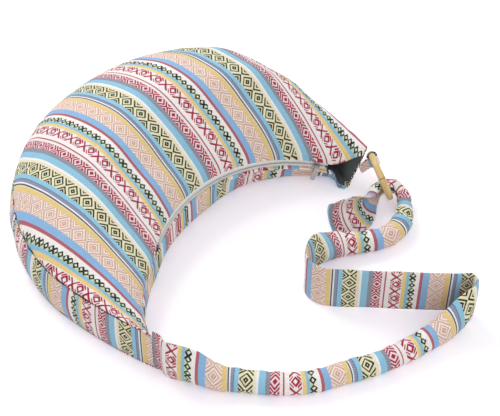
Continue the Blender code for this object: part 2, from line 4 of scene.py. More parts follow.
import bmesh
import bpy
import numpy as np
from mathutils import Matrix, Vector


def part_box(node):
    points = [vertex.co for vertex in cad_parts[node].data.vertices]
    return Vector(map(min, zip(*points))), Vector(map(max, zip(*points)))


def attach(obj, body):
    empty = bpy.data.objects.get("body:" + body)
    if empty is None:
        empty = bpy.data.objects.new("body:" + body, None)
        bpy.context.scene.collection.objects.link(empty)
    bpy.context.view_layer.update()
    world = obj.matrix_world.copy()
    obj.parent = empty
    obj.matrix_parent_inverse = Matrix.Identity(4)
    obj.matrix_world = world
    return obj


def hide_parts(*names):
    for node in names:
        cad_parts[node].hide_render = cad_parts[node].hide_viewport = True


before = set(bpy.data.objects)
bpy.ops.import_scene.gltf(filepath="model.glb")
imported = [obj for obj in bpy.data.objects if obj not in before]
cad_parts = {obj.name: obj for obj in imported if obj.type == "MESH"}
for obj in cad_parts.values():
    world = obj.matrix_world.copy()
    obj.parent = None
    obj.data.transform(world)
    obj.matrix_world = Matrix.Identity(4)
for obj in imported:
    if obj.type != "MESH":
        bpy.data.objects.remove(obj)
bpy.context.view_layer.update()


# The studio: a white paper floor, a large soft lamp behind the bag and a weaker one in front.
# The camera stands on the strap's side of the bag and looks down on it at 45 degrees. The paper
# glows faintly to the camera, which keeps its shade pale and violet.
VIEW_AZIMUTH = math.radians(-49.36)
VIEW_ELEVATION = math.radians(45.0)
VIEW_DISTANCE = 1.4709
VIEW_TARGET = Vector((0.0626, -0.1270, 0.0))
SENSOR_WIDTH = 36.0
IMAGE_WIDTH = 500.0
FOCAL_PIXELS = 1250.3
KEY_PLACE = Vector((0.15, 0.95, 1.35))
KEY_POWER = 13.0
KEY_SIZE = 0.9
FILL_PLACE = Vector((-0.25, -1.20, 1.0))
FILL_POWER = 4.4
FILL_SIZE = 1.2
SKY_STRENGTH = 0.62
SHADE_TINT = (0.60, 0.57, 0.70)
SHADE_SHARE = 0.50
PAPER = (0.92, 0.90, 0.88)
FLOOR_HALF = 4.0

camera_data = bpy.data.cameras.new("photo_camera")
camera_data.sensor_width = SENSOR_WIDTH
camera_data.lens = SENSOR_WIDTH * FOCAL_PIXELS / IMAGE_WIDTH
camera_data.clip_end = 50.0
camera = bpy.data.objects.new("photo_camera", camera_data)
bpy.context.scene.collection.objects.link(camera)
level = math.cos(VIEW_ELEVATION)
view_back = Vector((
    level * math.sin(VIEW_AZIMUTH), -level * math.cos(VIEW_AZIMUTH), math.sin(VIEW_ELEVATION),
))
camera.location = VIEW_TARGET + view_back * VIEW_DISTANCE
camera.rotation_euler = view_back.to_track_quat("Z", "Y").to_euler()
bpy.context.scene.camera = camera
bpy.context.scene.view_settings.view_transform = "Standard"


def add_lamp(name, place, power, size):
    lamp_data = bpy.data.lights.new(name, "AREA")
    lamp_data.energy = power
    lamp_data.size = size
    lamp = bpy.data.objects.new(name, lamp_data)
    lamp.location = place
    lamp.rotation_euler = (place - VIEW_TARGET).to_track_quat("Z", "Y").to_euler()
    bpy.context.scene.collection.objects.link(lamp)


add_lamp("key_lamp", KEY_PLACE, KEY_POWER, KEY_SIZE)
add_lamp("fill_lamp", FILL_PLACE, FILL_POWER, FILL_SIZE)


def add_node(tree, kind, values=None, links=None):
    """A shader node, with values for some of its inputs and sockets linked to others."""
    node = tree.nodes.new("ShaderNode" + kind)
    for name, value in (values or {}).items():
        node.inputs[name].default_value = value
    for name, socket in (links or {}).items():
        tree.links.new(socket, node.inputs[name])
    return node


def seen_share(tree, other):
    """1 for camera rays and for one other kind of ray, and 0 for the rest."""
    rays = add_node(tree, "LightPath").outputs
    seen = add_node(tree, "Math", links={0: rays["Is Camera Ray"], 1: rays[other]})
    seen.operation = "MAXIMUM"
    return seen.outputs[0]


world = bpy.data.worlds.new("studio_world")
world.use_nodes = True
tree = world.node_tree
sky = tree.nodes["Background"]
sky.inputs["Color"].default_value = (1.0, 1.0, 1.0, 1.0)
levels = {"To Min": SKY_STRENGTH, "To Max": 1.0}
sky_level = add_node(tree, "MapRange", levels, {"Value": seen_share(tree, "Is Transmission Ray")})
tree.links.new(sky_level.outputs["Result"], sky.inputs["Strength"])
bpy.context.scene.world = world

floor_paint = bpy.data.materials.new("white_paper")
floor_paint.use_nodes = True
tree = floor_paint.node_tree
tree.nodes.clear()
paper = add_node(tree, "BsdfDiffuse", {"Color": (*PAPER, 1.0)}).outputs[0]
glow = add_node(tree, "Emission", {"Color": (*SHADE_TINT, 1.0), "Strength": SHADE_SHARE}).outputs[0]
lit = add_node(tree, "AddShader", links={0: paper, 1: glow}).outputs[0]
seen = seen_share(tree, "Is Glossy Ray")
choose = add_node(tree, "MixShader", links={0: seen, 1: paper, 2: lit}).outputs[0]
add_node(tree, "OutputMaterial", links={"Surface": choose})

floor_mesh = bpy.data.meshes.new("paper_floor")
floor_corners = [(x * FLOOR_HALF, y * FLOOR_HALF, 0.0) for x, y in ((-1, -1), (1, -1), (1, 1), (-1, 1))]
floor_mesh.from_pydata(floor_corners, [], [(0, 1, 2, 3)])
floor_mesh.materials.append(floor_paint)
paper_floor = bpy.data.objects.new("paper_floor", floor_mesh)
bpy.context.scene.collection.objects.link(paper_floor)


# The outer cloth: a heavy cotton woven in stripes, whose bands of diamonds, crosses and chains
# are floated in coloured thread. One repeat of the stripes is 128 mm and one figure is 22.4 mm.
# A stripe is its width in millimetres and its colour, and a band its middle and its half width.
REPEAT = 0.128
FIGURE = 0.0224
THREAD = 0.0008
TAN_GROUND = (250, 236, 226)
STRIPES = (
    (16.8, TAN_GROUND), (4.7, (238, 208, 140)), (0.7, (240, 233, 215)), (1.7, (82, 88, 112)),
    (1.9, (250, 248, 246)), (3.6, (112, 124, 158)), (5.0, (152, 204, 230)), (15.1, (240, 234, 196)),
    (2.9, (244, 234, 206)), (2.9, (250, 248, 246)), (7.2, (150, 202, 230)), (4.3, (120, 126, 142)),
    (10.1, (244, 226, 228)), (2.9, (248, 238, 236)), (1.7, (184, 92, 106)), (5.5, (250, 245, 243)),
    (12.2, (250, 243, 241)), (3.6, (242, 212, 140)), (3.6, (148, 198, 226)), (3.6, (202, 218, 184)),
    (3.6, (246, 244, 232)), (4.3, (250, 246, 244)), (2.9, (188, 102, 114)), (7.2, (146, 190, 232)),
)
TAN_BAND = (8.4, 8.4)
BLACK_BAND = (42.1, 7.55)
ZIGZAG_BAND = (72.0, 5.05)
CROWN_BAND = (92.6, 6.1)
CROWN_LEAN = 1.84
CHAIN_BAND = (110.1, 3.6)
MELANGE_BANDS = ((27.2, 1.8), (64.9, 2.15))
# Bands of nested diamonds: the rings in a half width, and the share of each that is left bare
NESTED_BANDS = ((TAN_BAND, 2.2, 0.52), (BLACK_BAND, 1.75, 0.48), (ZIGZAG_BAND, 1.2, 0.42))
MELANGE_THREAD = (226, 228, 236)
MELANGE_SHARE = 0.42
TAN_THREAD = (218, 174, 158)
BLACK_THREAD = (38, 46, 38)
CRIMSON_THREAD = (176, 42, 76)
# Where along the repeat the floated thread changes its colour, in millimetres
THREAD_FROM = (
    (0.0, TAN_THREAD),
    (BLACK_BAND[0] - 10.0, BLACK_THREAD),
    (ZIGZAG_BAND[0] - 6.0, CRIMSON_THREAD),
    (CHAIN_BAND[0] - 4.0, BLACK_THREAD),
)


def linear(colour):
    """The linear values of a colour written from 0 to 255 on the screen's scale."""
    values = np.asarray(colour, dtype=float) / 255.0
    bright = ((values + 0.055) / 1.055) ** 2.4
    return tuple(np.where(values > 0.04045, bright, values / 12.92))


class Field:
    """A number at each point of a surface, written as a sum in Python and kept as math nodes."""

    def __init__(self, tree, socket):
        self.tree = tree
        self.socket = socket

    def work(self, operation, *others):
        node = add_node(self.tree, "Math")
        node.operation = operation
        for slot, value in zip(node.inputs, (self,) + others):
            if isinstance(value, Field):
                self.tree.links.new(value.socket, slot)
            else:
                slot.default_value = value
        return Field(self.tree, node.outputs[0])

    __add__ = functools.partialmethod(work, "ADD")
    __sub__ = functools.partialmethod(work, "SUBTRACT")
    __mul__ = functools.partialmethod(work, "MULTIPLY")
    __abs__ = functools.partialmethod(work, "ABSOLUTE")
    fraction = functools.partialmethod(work, "FRACT")
    floor = functools.partialmethod(work, "FLOOR")
    sine = functools.partialmethod(work, "SINE")
    under = functools.partialmethod(work, "LESS_THAN")
    over = functools.partialmethod(work, "GREATER_THAN")
    either = functools.partialmethod(work, "MAXIMUM")

    def __rsub__(self, other):
        return self * -1.0 + other

    def steps(self, count):
        """The number rounded down to the middle of one of count steps in each unit."""
        return ((self * count).floor() + 0.5) * (1.0 / count)


def ramp_of(tree, place, bands):
    """A colour for each band of a repeat, from (start, colour) pairs in order, without blending."""
    node = add_node(tree, "ValToRGB", links={"Fac": place.socket})
    node.color_ramp.interpolation = "CONSTANT"
    stops = node.color_ramp.elements
    stops.remove(stops[1])
    stops[0].position = 0.0
    stops[0].color = (*linear(bands[0][1]), 1.0)
    for start, colour in bands[1:]:
        stops.new(start).color = (*linear(colour), 1.0)
    return node.outputs["Color"]


def band_share(place, band):
    """Distance from a band's middle line, as a share of its half width; place runs from 0 to 1."""
    middle, half = (size / (REPEAT * 1000.0) for size in band)
    return abs(place - middle) * (1.0 / half)


def nested_diamonds(place, row, band, rings, light_share):
    """Rings of |across| + row at 45 degrees, folded over where two diamonds meet."""
    across = band_share(place, band)
    lean = FIGURE * 500.0 / band[1]
    fold = (1.0 + lean) / 2.0
    nest = fold - abs(across + row * lean - fold)
    return (nest * rings + 0.25).fraction().over(light_share) * across.under(1.0)


def woven_figures(place, row):
    """Where the floated thread shows; row is 0 at a figure's middle and 1 between two figures."""
    across = band_share(place, CROWN_BAND)
    ring = abs(across + row * CROWN_LEAN - 0.62).under(0.21)
    cross = abs(across - (1.0 - row) * CROWN_LEAN).under(0.23)
    chevrons = abs(across + row * CROWN_LEAN - 1.24).under(0.16) * across.over(0.3)
    shown = ring.either(cross).either(chevrons) * across.under(0.97)
    for nest in NESTED_BANDS:
        shown = shown.either(nested_diamonds(place, row, *nest))
    across = band_share(place, CHAIN_BAND)
    ring = abs(across * 0.8 + row * 2.5 - 0.62).under(0.30)
    cross = abs(across - (1.0 - row) * 3.2).under(0.42) * row.over(0.62)
    bars = abs(row * 3.0 - across - 1.35).under(0.27) * row.under(0.62)
    return shown.either(ring.either(cross).either(bars) * across.under(1.0))


def new_finish(name, values):
    """A new material, its node tree, and its shader with some of its inputs set."""
    made = bpy.data.materials.new(name)
    made.use_nodes = True
    shader = made.node_tree.nodes["Principled BSDF"]
    for setting, value in values.items():
        shader.inputs[setting].default_value = value
    return made, made.node_tree, shader


def add_bump(tree, shader, height, strength, distance):
    bump = add_node(tree, "Bump", {"Strength": strength, "Distance": distance}, {"Height": height})
    tree.links.new(bump.outputs["Normal"], shader.inputs["Normal"])


def rgb(tree, colour):
    node = add_node(tree, "RGB")
    node.outputs[0].default_value = (*linear(colour), 1.0)
    return node.outputs[0]


def mix_colours(tree, share, first, second):
    node = add_node(tree, "Mix")
    node.data_type = "RGBA"
    tree.links.new(share.socket, node.inputs[0])
    tree.links.new(first, node.inputs[6])
    tree.links.new(second, node.inputs[7])
    return node.outputs[2]


def cloth_map(tree):
    """The map that add_piece gives a piece: its socket, and its two numbers."""
    uv = add_node(tree, "UVMap")
    uv.uv_map = "cloth"
    parts = add_node(tree, "SeparateXYZ", links={0: uv.outputs["UV"]})
    return uv.outputs["UV"], Field(tree, parts.outputs["X"]), Field(tree, parts.outputs["Y"])


def striped_cotton():
    """The striped cloth, from a UV map that counts repeats of the stripes and figures along them."""
    values = {"Roughness": 0.88, "Specular IOR Level": 0.25, "Sheen Weight": 0.12}
    made, tree, shader = new_finish("striped_cotton", values)
    uv, across, along = cloth_map(tree)
    threads = REPEAT / THREAD
    rows = FIGURE / THREAD
    place = across.steps(threads).fraction()
    row = abs(along.steps(rows).fraction() - 0.5) * 2.0

    starts = np.cumsum([0.0] + [width for width, colour in STRIPES]) / (REPEAT * 1000.0)
    ground = ramp_of(tree, place, [(start, stripe[1]) for start, stripe in zip(starts, STRIPES)])
    thread = ramp_of(tree, place, [(start / (REPEAT * 1000.0), colour) for start, colour in THREAD_FROM])
    shown = woven_figures(place, row)
    colour = mix_colours(tree, shown, ground, thread)

    first, second = (band_share(place, band).under(1.0) for band in MELANGE_BANDS)
    melange = first.either(second)
    hatch = (along * rows * 0.5 + across * threads * 0.12).fraction().over(0.55) * melange
    colour = mix_colours(tree, hatch * MELANGE_SHARE, colour, rgb(tree, MELANGE_THREAD))

    grain = add_node(tree, "TexWhiteNoise")
    grain.noise_dimensions = "2D"
    cells = {0: (across * threads).floor().socket, 1: (along * rows).floor().socket}
    tree.links.new(add_node(tree, "CombineXYZ", links=cells).outputs[0], grain.inputs["Vector"])
    light = Field(tree, grain.outputs["Value"]) * 0.16 + 0.90
    shade = add_node(tree, "VectorMath")
    shade.operation = "SCALE"
    tree.links.new(colour, shade.inputs[0])
    tree.links.new(light.socket, shade.inputs["Scale"])
    tree.links.new(shade.outputs[0], shader.inputs["Base Color"])

    warp = (across * (threads * math.pi)).sine()
    weft = (along * (rows * math.pi)).sine()
    relief = abs(warp) * abs(weft) + shown * 0.5
    add_bump(tree, shader, relief.socket, 0.45, 0.0003)
    return made


cotton = striped_cotton()


# The front panel: one crescent of striped cloth, stuffed from below, from the zip on its inner curve
# to the gusset seam on its outer curve. Near the ring tip the zip is open and its lip stands up.
CHORD_Y = -0.205
BELLY_DEPTH = 0.320
BELLY_RADIUS = 0.196
BELLY_CENTRE_Y = BELLY_DEPTH - BELLY_RADIUS
BELLY_LEAN = -0.0094
TIP_INSET = 0.014
TIP_HALF_SPAN = BELLY_RADIUS - TIP_INSET
ZIP_RADIUS = 0.187
ZIP_TILT = math.radians(16.7)
ZIP_ROLL = math.radians(25.0)
ZIP_CLIMB = np.array((0.0, math.cos(ZIP_TILT), math.sin(ZIP_TILT)))
ZIP_UP = np.array((0.0, -math.sin(ZIP_TILT), math.cos(ZIP_TILT)))
ZIP_CENTRE = np.array((0.003, 0.107, 0.051)) - ZIP_RADIUS * ZIP_CLIMB
TIP_ANGLE_IN = math.acos(-ZIP_CENTRE[1] / (ZIP_RADIUS * math.cos(ZIP_TILT)))
MOUTH_LENGTH = 0.0415
MOUTH_ANGLE = TIP_ANGLE_IN - MOUTH_LENGTH / ZIP_RADIUS
BELLY_DROP = BELLY_CENTRE_Y / math.sqrt(1.0 - (TIP_HALF_SPAN / BELLY_RADIUS) ** 2)
TIP_ANGLE_OUT = math.acos(-BELLY_CENTRE_Y / BELLY_DROP)
CLOTH = 0.0012
LINING = 0.0006
GAP = 0.0003
SEAM_TOP = 0.063
SEAM_DIP = 0.008
DIP_FROM = (0.45, 0.85)
ZIP_BAND = 0.008
PANEL_EDGE = 0.0039
HEM_SET_BACK = 0.0030
SEWN_EDGE = 0.0002
SEWN_WITHIN = math.radians(4.0)
ZIP_END_INSET = 0.128
END_ANGLE = ZIP_END_INSET / ZIP_RADIUS - TIP_ANGLE_IN
TAPE_HALF = 0.0004
ZIP_SIDE = TAPE_HALF + GAP + CLOTH
DOME_RISE = 0.074
DOME_SHIFT = 0.35
DOME_ALONG = (2.03, 1.58)
DOME_ACROSS = (1.125, 0.6)
RIDGE_RISE = 0.006
RIDGE_PLACE = 0.42
RIDGE_WIDTH = 0.15
DRAPE = 2.2
TIP_FRONT_Z = 0.056
ARM_SHIFT = 0.014
ARM_ANGLES = np.radians((27.5, 50.0))
ARM_EASE = 0.35
EASE_ANGLES = np.radians((52.0, 66.0))
TIP_SLANT = np.array((-0.0105, 0.0125, 0.0))
SLANT_FROM = 0.82
SEAM_RUN = 0.36
ZIP_PUCKERS = (0.019, 0.0127, 0.031)
SEAM_PUCKERS = (0.017, 0.024, 0.0112)
# The height of the puckers, the swells and the seam's groove, and how far in they reach
ZIP_PUCKER, ZIP_PUCKER_REACH = 0.0007, 0.016
SEAM_PUCKER, SEAM_PUCKER_REACH = 0.0008, 0.014
SEAM_GROOVE, GROOVE_REACH = 0.0016, 0.0022
SWELL, SWELL_START = 0.0026, 0.03
STRIPE_AT_MIDDLE = 1.314
STRIPE_PACE = 10.07
STRIPE_SWAY = 0.156
STRIPE_EASE = 34.0
STATIONS = 261
COLUMNS = 84
RIM_COLUMNS = 4


def unit(vectors):
    vectors = np.asarray(vectors, dtype=float)
    return vectors / np.linalg.norm(vectors, axis=-1, keepdims=True)


def smooth_step(value, low, high):
    """0 below low, 1 above high, and a smooth cubic between them."""
    share = np.clip((value - low) / (high - low), 0.0, 1.0)
    return share * share * (3.0 - 2.0 * share)


def seam_line(share, radius_change=0.0):
    """The gusset seam: a circle that leans towards the strap tip, stretched below its widest part."""
    angle = TIP_ANGLE_OUT * np.asarray(share, dtype=float)
    reach = np.where(np.cos(angle) > 0.0, BELLY_RADIUS, BELLY_DROP) + radius_change
    lean = BELLY_LEAN * (1.0 - np.square(share)) * (1.0 + np.asarray(share) / 2)
    x = (BELLY_RADIUS + radius_change) * np.sin(angle) - lean
    y = BELLY_CENTRE_Y + reach * np.cos(angle)
    return np.stack((x, y, np.zeros_like(x)), axis=-1)


def zip_line(angle, side=0.0, height=0.0):
    """A circle in a tilted plane; side is out through the zip's face and height is across its width."""
    angle = np.asarray(angle, dtype=float)[..., None]
    inward = np.sin(angle) * np.array((1.0, 0.0, 0.0)) + np.cos(angle) * ZIP_CLIMB
    side = np.asarray(side, dtype=float)[..., None]
    height = np.asarray(height, dtype=float)[..., None]
    out = side * math.cos(ZIP_ROLL) - height * math.sin(ZIP_ROLL)
    rise = side * math.sin(ZIP_ROLL) + height * math.cos(ZIP_ROLL)
    return ZIP_CENTRE + (ZIP_RADIUS - out) * inward + rise * ZIP_UP


def arm_shift(angle):
    """How far the inner edge lies from the zip's circle past the zip's end; it fades at the tip."""
    ease = 1.0 - ARM_EASE * smooth_step(-angle, *EASE_ANGLES)
    return -ARM_SHIFT * smooth_step(-angle, *ARM_ANGLES) * ease


def edge_heights(angle, count, set_back=0.0):
    """From a panel's edge to its fold over the zip; past the zip's end the edges are sewn together."""
    sewn = smooth_step(END_ANGLE - angle, GAP / ZIP_RADIUS, SEWN_WITHIN)
    back = PANEL_EDGE + set_back * smooth_step(-angle, -MOUTH_ANGLE, 0.0)
    edge = back + (SEWN_EDGE - back) * sewn
    return [edge + (ZIP_BAND - edge) * share for share in np.linspace(0.0, 1.0, count)]


def tip_slant(station):
    """How far the low edge of the ring tip lies from its high edge."""
    return smooth_step(station, SLANT_FROM, 1.0)[:, None] * TIP_SLANT


def waves(along, lengths, seed):
    """A sum of sines of the given wavelengths, with seeded phases, from -1 to 1."""
    phases = np.random.default_rng(seed).uniform(0.0, 2.0 * math.pi, len(lengths))
    total = sum(np.sin(2.0 * math.pi * along / length + phase) for length, phase in zip(lengths, phases))
    return total / len(lengths)


def soft_dips(grid, station, share, outward):
    """Cloth pulled in at the stitched edges: puckers across the zip and the seam, and slow swells."""
    width = np.linalg.norm(grid[:, -1] - grid[:, 0], axis=1)[:, None]
    near_zip = share * width
    near_seam = (1.0 - share) * width
    run = ZIP_RADIUS * TIP_ANGLE_IN * station[:, None] + 0.0 * share
    pucker = ZIP_PUCKER * waves(run, ZIP_PUCKERS, 3) * np.exp(-near_zip / ZIP_PUCKER_REACH)
    run = SEAM_RUN * station[:, None] + 0.0 * share
    seam_fade = np.exp(-near_seam / SEAM_PUCKER_REACH)
    pucker = pucker + SEAM_PUCKER * waves(run, SEAM_PUCKERS, 5) * seam_fade
    swell = SWELL * waves(grid[..., 0] * 0.8 + grid[..., 1] * 0.6, (0.062, 0.098), 7)
    swell = swell * waves(grid[..., 1] * 0.9 - grid[..., 0] * 0.4, (0.085, 0.13), 9)
    calm = smooth_step(near_zip, 0.0, SWELL_START) * smooth_step(near_seam, 0.0, SWELL_START)
    groove = SEAM_GROOVE * np.exp(-((near_seam / GROOVE_REACH) ** 2))
    depth = pucker * smooth_step(near_zip, 0.0, 0.004) + swell * calm - groove
    return grid + depth[..., None] * outward


def directions(grid, axis):
    """Mean direction of the two segments that meet at each point of a grid."""
    steps = unit(np.diff(grid, axis=axis) + 1e-12)
    before = np.concatenate((steps.take([0], axis), steps), axis=axis)
    after = np.concatenate((steps, steps.take([-1], axis)), axis=axis)
    return (before + after) / 2.0


def grid_normals(grid, side):
    """Unit normals of a grid; side is 1 where row x column points outwards."""
    return side * unit(np.cross(directions(grid, 0), directions(grid, 1)))


def front_surface(station, across, depth=0.0):
    """Rows run along the bag and columns from the zip over the crown to the gusset seam.

    Height is a drape, seam - (seam - zip) (1 - share)^2.2, plus a crown, sin(pi share^1.125)^0.6,
    and a soft ridge, exp(-((share - place) / width)^2). The crown and the ridge fade to both tips.
    depth is how far the points lie behind the outer face."""
    angle = TIP_ANGLE_IN * station
    seam = seam_line(station)
    seam[:, 2] = SEAM_TOP - SEAM_DIP * smooth_step(-station, *DIP_FROM)
    lift = smooth_step(angle, MOUTH_ANGLE, TIP_ANGLE_IN)
    start = zip_line(angle, ZIP_SIDE, ZIP_BAND)
    raise_by = lift * (TIP_FRONT_Z - start[:, 2])
    columns = []
    for height in edge_heights(angle, RIM_COLUMNS + 1, HEM_SET_BACK):
        start = zip_line(angle, ZIP_SIDE, height)
        start[:, 0] += arm_shift(angle)
        start[:, 1] = np.maximum(start[:, 1], 0.0)
        start[:, 2] += raise_by
        columns.append(start)
    reach = np.where(station > DOME_SHIFT, 1.0 - DOME_SHIFT, 1.0 + DOME_SHIFT)
    apart = np.abs(station - DOME_SHIFT) / reach
    fade = (1.0 - np.minimum(apart, 1.0) ** DOME_ALONG[0]) ** DOME_ALONG[1]
    for share in across[1:]:
        point = start + (seam - start) * share
        point[:, 2] = seam[:, 2] - (seam - start)[:, 2] * (1.0 - share) ** DRAPE
        point[:, 2] += DOME_RISE * fade * np.sin(math.pi * share ** DOME_ACROSS[0]) ** DOME_ACROSS[1]
        point[:, 2] += RIDGE_RISE * fade * np.exp(-(((share - RIDGE_PLACE) / RIDGE_WIDTH) ** 2))
        columns.append(point)
    grid = np.stack(columns, axis=1)
    outward = grid_normals(grid, 1)
    shares = np.concatenate((np.zeros(RIM_COLUMNS), across))
    return soft_dips(grid, station, shares[None, :], outward) - depth * outward


def even_across(count, start=0.0, end=1.0):
    """Shares from start to end that crowd towards both edges, where the cloth turns steeply."""
    return start + (end - start) * (1.0 - np.cos(np.linspace(0.0, math.pi, count))) / 2.0


def figure_run(grid):
    """Lengths along the stripes, in figures: y where the cloth lies flat, and more where it climbs."""
    step = np.diff(grid, axis=1)
    level = step[..., 0] ** 2 + step[..., 1] ** 2 + 1e-12
    climb = step[..., 2] * np.abs(step[..., 1]) / np.sqrt(level)
    longer = np.sign(step[..., 1]) * np.hypot(step[..., 1], climb)
    start = grid[:, :1, 1]
    return np.concatenate((start, start + np.cumsum(longer, axis=1)), axis=1) / FIGURE


def chart_of(stripe, figure):
    """A map of the cloth: repeats across the stripes, and figures along them."""
    return np.stack(np.broadcast_arrays(stripe, figure), axis=-1)


def front_map(grid, station):
    """Stripes stand across the bag, wider apart towards both tips, where the cloth is stretched less.

    The stripe number is a + b x - c sin(pi station) - d x^3."""
    x = grid[..., 0]
    sway = STRIPE_SWAY * np.sin(math.pi * station)[:, None]
    stripe = STRIPE_AT_MIDDLE + STRIPE_PACE * x - sway - STRIPE_EASE * x ** 3
    return chart_of(stripe, figure_run(grid))


def add_piece(name, patches, finish, sharp=60.0):
    """One mesh from patches of (point grid, map grid), joined where their edges meet."""
    points, faces, maps, count = [], [], [], 0
    for grid, chart in patches:
        rows, columns = grid.shape[:2]
        index = count + np.arange(rows * columns).reshape(rows, columns)
        quads = np.stack((index[:-1, :-1], index[1:, :-1], index[1:, 1:], index[:-1, 1:]), axis=-1)
        points.append(grid.reshape(-1, 3))
        maps.append(np.broadcast_to(chart, grid.shape[:2] + (2,)).reshape(-1, 2))
        faces.append(quads.reshape(-1, 4))
        count += rows * columns
    faces = np.concatenate(faces)
    maps = np.concatenate(maps)[faces.ravel()]
    mesh = bpy.data.meshes.new(name)
    mesh.from_pydata(np.concatenate(points), [], faces)
    mesh.uv_layers.new(name="cloth").data.foreach_set("uv", maps.astype(np.float32).ravel())
    joined = bmesh.new()
    joined.from_mesh(mesh)
    bmesh.ops.remove_doubles(joined, verts=joined.verts, dist=1e-6)
    bmesh.ops.dissolve_degenerate(joined, edges=joined.edges, dist=1e-7)
    joined.to_mesh(mesh)
    joined.free()
    mesh.materials.append(finish)
    mesh.shade_smooth()
    mesh.set_sharp_from_angle(angle=math.radians(sharp))
    made = bpy.data.objects.new(name, mesh)
    bpy.context.scene.collection.objects.link(made)
    return made


def edge_patch(first, second, marks, way):
    """The narrow strip between two rows of points, turned over where way is negative."""
    grid = np.stack((first, second) if way > 0 else (second, first), axis=0)
    return grid, np.stack((marks, marks), axis=0)


def sheet_patches(outside, inside, chart, side=1):
    """Both faces and the four edges of a cloth; side is 1 where row x column points outwards."""
    patches = [(outside[::side], chart[::side]), (inside[::-side], chart[::-side])]
    for end, way in ((0, side), (-1, -side)):
        patches.append(edge_patch(outside[end], inside[end], chart[end], -way))
        patches.append(edge_patch(outside[:, end], inside[:, end], chart[:, end], way))
    return patches


def in_frame(grid):
    """Points measured from the chord between the tips, moved to the frame's origin."""
    return grid + np.array((0.0, CHORD_Y, 0.0))


def add_sheet(name, outside, inside, chart, finish, side=1):
    """A piece of cloth from its two faces, measured from the chord between the tips."""
    return add_piece(name, sheet_patches(in_frame(outside), in_frame(inside), chart, side), finish)


def dress(piece, body, slot, *nodes):
    """The piece rides on a body and stands for the nodes it covers; slot is not used."""
    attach(piece, body)
    if nodes:
        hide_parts(*nodes)


stations = np.linspace(-1.0, 1.0, STATIONS)
front_across = even_across(COLUMNS)
front_outside = front_surface(stations, front_across)
front_inside = front_surface(stations, front_across, CLOTH)
front_chart = front_map(front_outside, stations)
front_cloth = add_sheet("front_cloth", front_outside, front_inside, front_chart, cotton)
dress(front_cloth, "bag", "striped_cotton", "front_panel")


# The back panel: the same crescent cut, with its stripes matched a little along from the front's.
# It turns down from the zip and lies flat on the floor; at the open tip its lip lies almost flat.
BACK_CURVE = 0.045
BACK_WALL = 0.018
BACK_RECESS = 0.009
RECESS_ANGLES = np.radians((0.0, 25.0))
TURN_UP = 0.012
LIP_DELAY = math.radians(1.5)
LIP_DROP = math.radians(8.0)
SEAM_LIFT = 0.0015
BACK_STRIPE_START = -0.1285


def back_surface(station, across, depth=0.0):
    """A low wall under the zip, and then a quarter of an ellipse that leads to the flat part.

    The wall steps in by BACK_RECESS towards the ring tip; depth lies behind the outer face."""
    angle = TIP_ANGLE_IN * station
    seam = seam_line(station) + tip_slant(station)
    drop = smooth_step(angle, MOUTH_ANGLE + LIP_DELAY, MOUTH_ANGLE + LIP_DELAY + LIP_DROP)
    lower_by = drop * (zip_line(angle, ZIP_SIDE, -ZIP_BAND)[:, 2] - SEAM_LIFT)
    columns = []
    for height in edge_heights(angle, RIM_COLUMNS + 1):
        start = zip_line(angle, ZIP_SIDE, -height) + tip_slant(station)
        start[:, 0] += arm_shift(angle)
        start[:, 2] -= lower_by
        columns.append(start)
    width = np.linalg.norm((seam - start)[:, :2], axis=1)
    inward = (seam - start) / width[:, None]
    curve = np.minimum(BACK_CURVE, 0.8 * width)
    recess = np.minimum(BACK_RECESS * smooth_step(angle, *RECESS_ANGLES), 0.4 * curve)
    wall = np.minimum(BACK_WALL, 0.45 * start[:, 2])
    turn_up = np.minimum(TURN_UP, 0.15 * width)
    for share in across[1:]:
        run = share * width
        turn = math.pi * np.minimum(run / curve, 1.0)
        under = turn > math.pi / 2
        reach = np.where(under, curve - (curve - recess) * np.sin(turn), recess * np.sin(turn))
        reach = np.where(run > curve, run, reach)
        point = start + reach[:, None] * inward
        point[:, 2] = wall + np.where(under, wall, start[:, 2] - wall) * np.cos(turn)
        point[:, 2] += SEAM_LIFT * smooth_step(run, width - turn_up, width)
        columns.append(point)
    grid = np.stack(columns, axis=1)
    return grid - depth * grid_normals(grid, -1)


back_across = even_across(COLUMNS // 2)
back_outside = back_surface(stations, back_across)
back_inside = back_surface(stations, back_across, CLOTH)
back_stripe = (back_outside[..., 0] - BACK_STRIPE_START) / REPEAT
back_chart = chart_of(back_stripe, figure_run(back_outside))
back_cloth = add_sheet("back_cloth", back_outside, back_inside, back_chart, cotton, -1)
dress(back_cloth, "bag", "striped_cotton", "back_panel")


# The gusset: a strip 60 mm wide sewn round the outer curve between the two panels, cut along the
# stripes so that they stand across it. It runs on past the strap tip as the shoulder strap.
GUSSET_BULGE = 0.006
GUSSET_STRIPE_AT_TIP = 0.076
GUSSET_ROWS = 25
GUSSET_REACH = 0.003
GUSSET_CREASE = 0.0007
CREASE_SHARE = 0.16
GUSSET_SLACK = 0.0008


def run_along(path):
    """The length of a path from its start to each of its points."""
    steps = np.linalg.norm(np.diff(path, axis=0), axis=1)
    return np.concatenate(([0.0], np.cumsum(steps)))


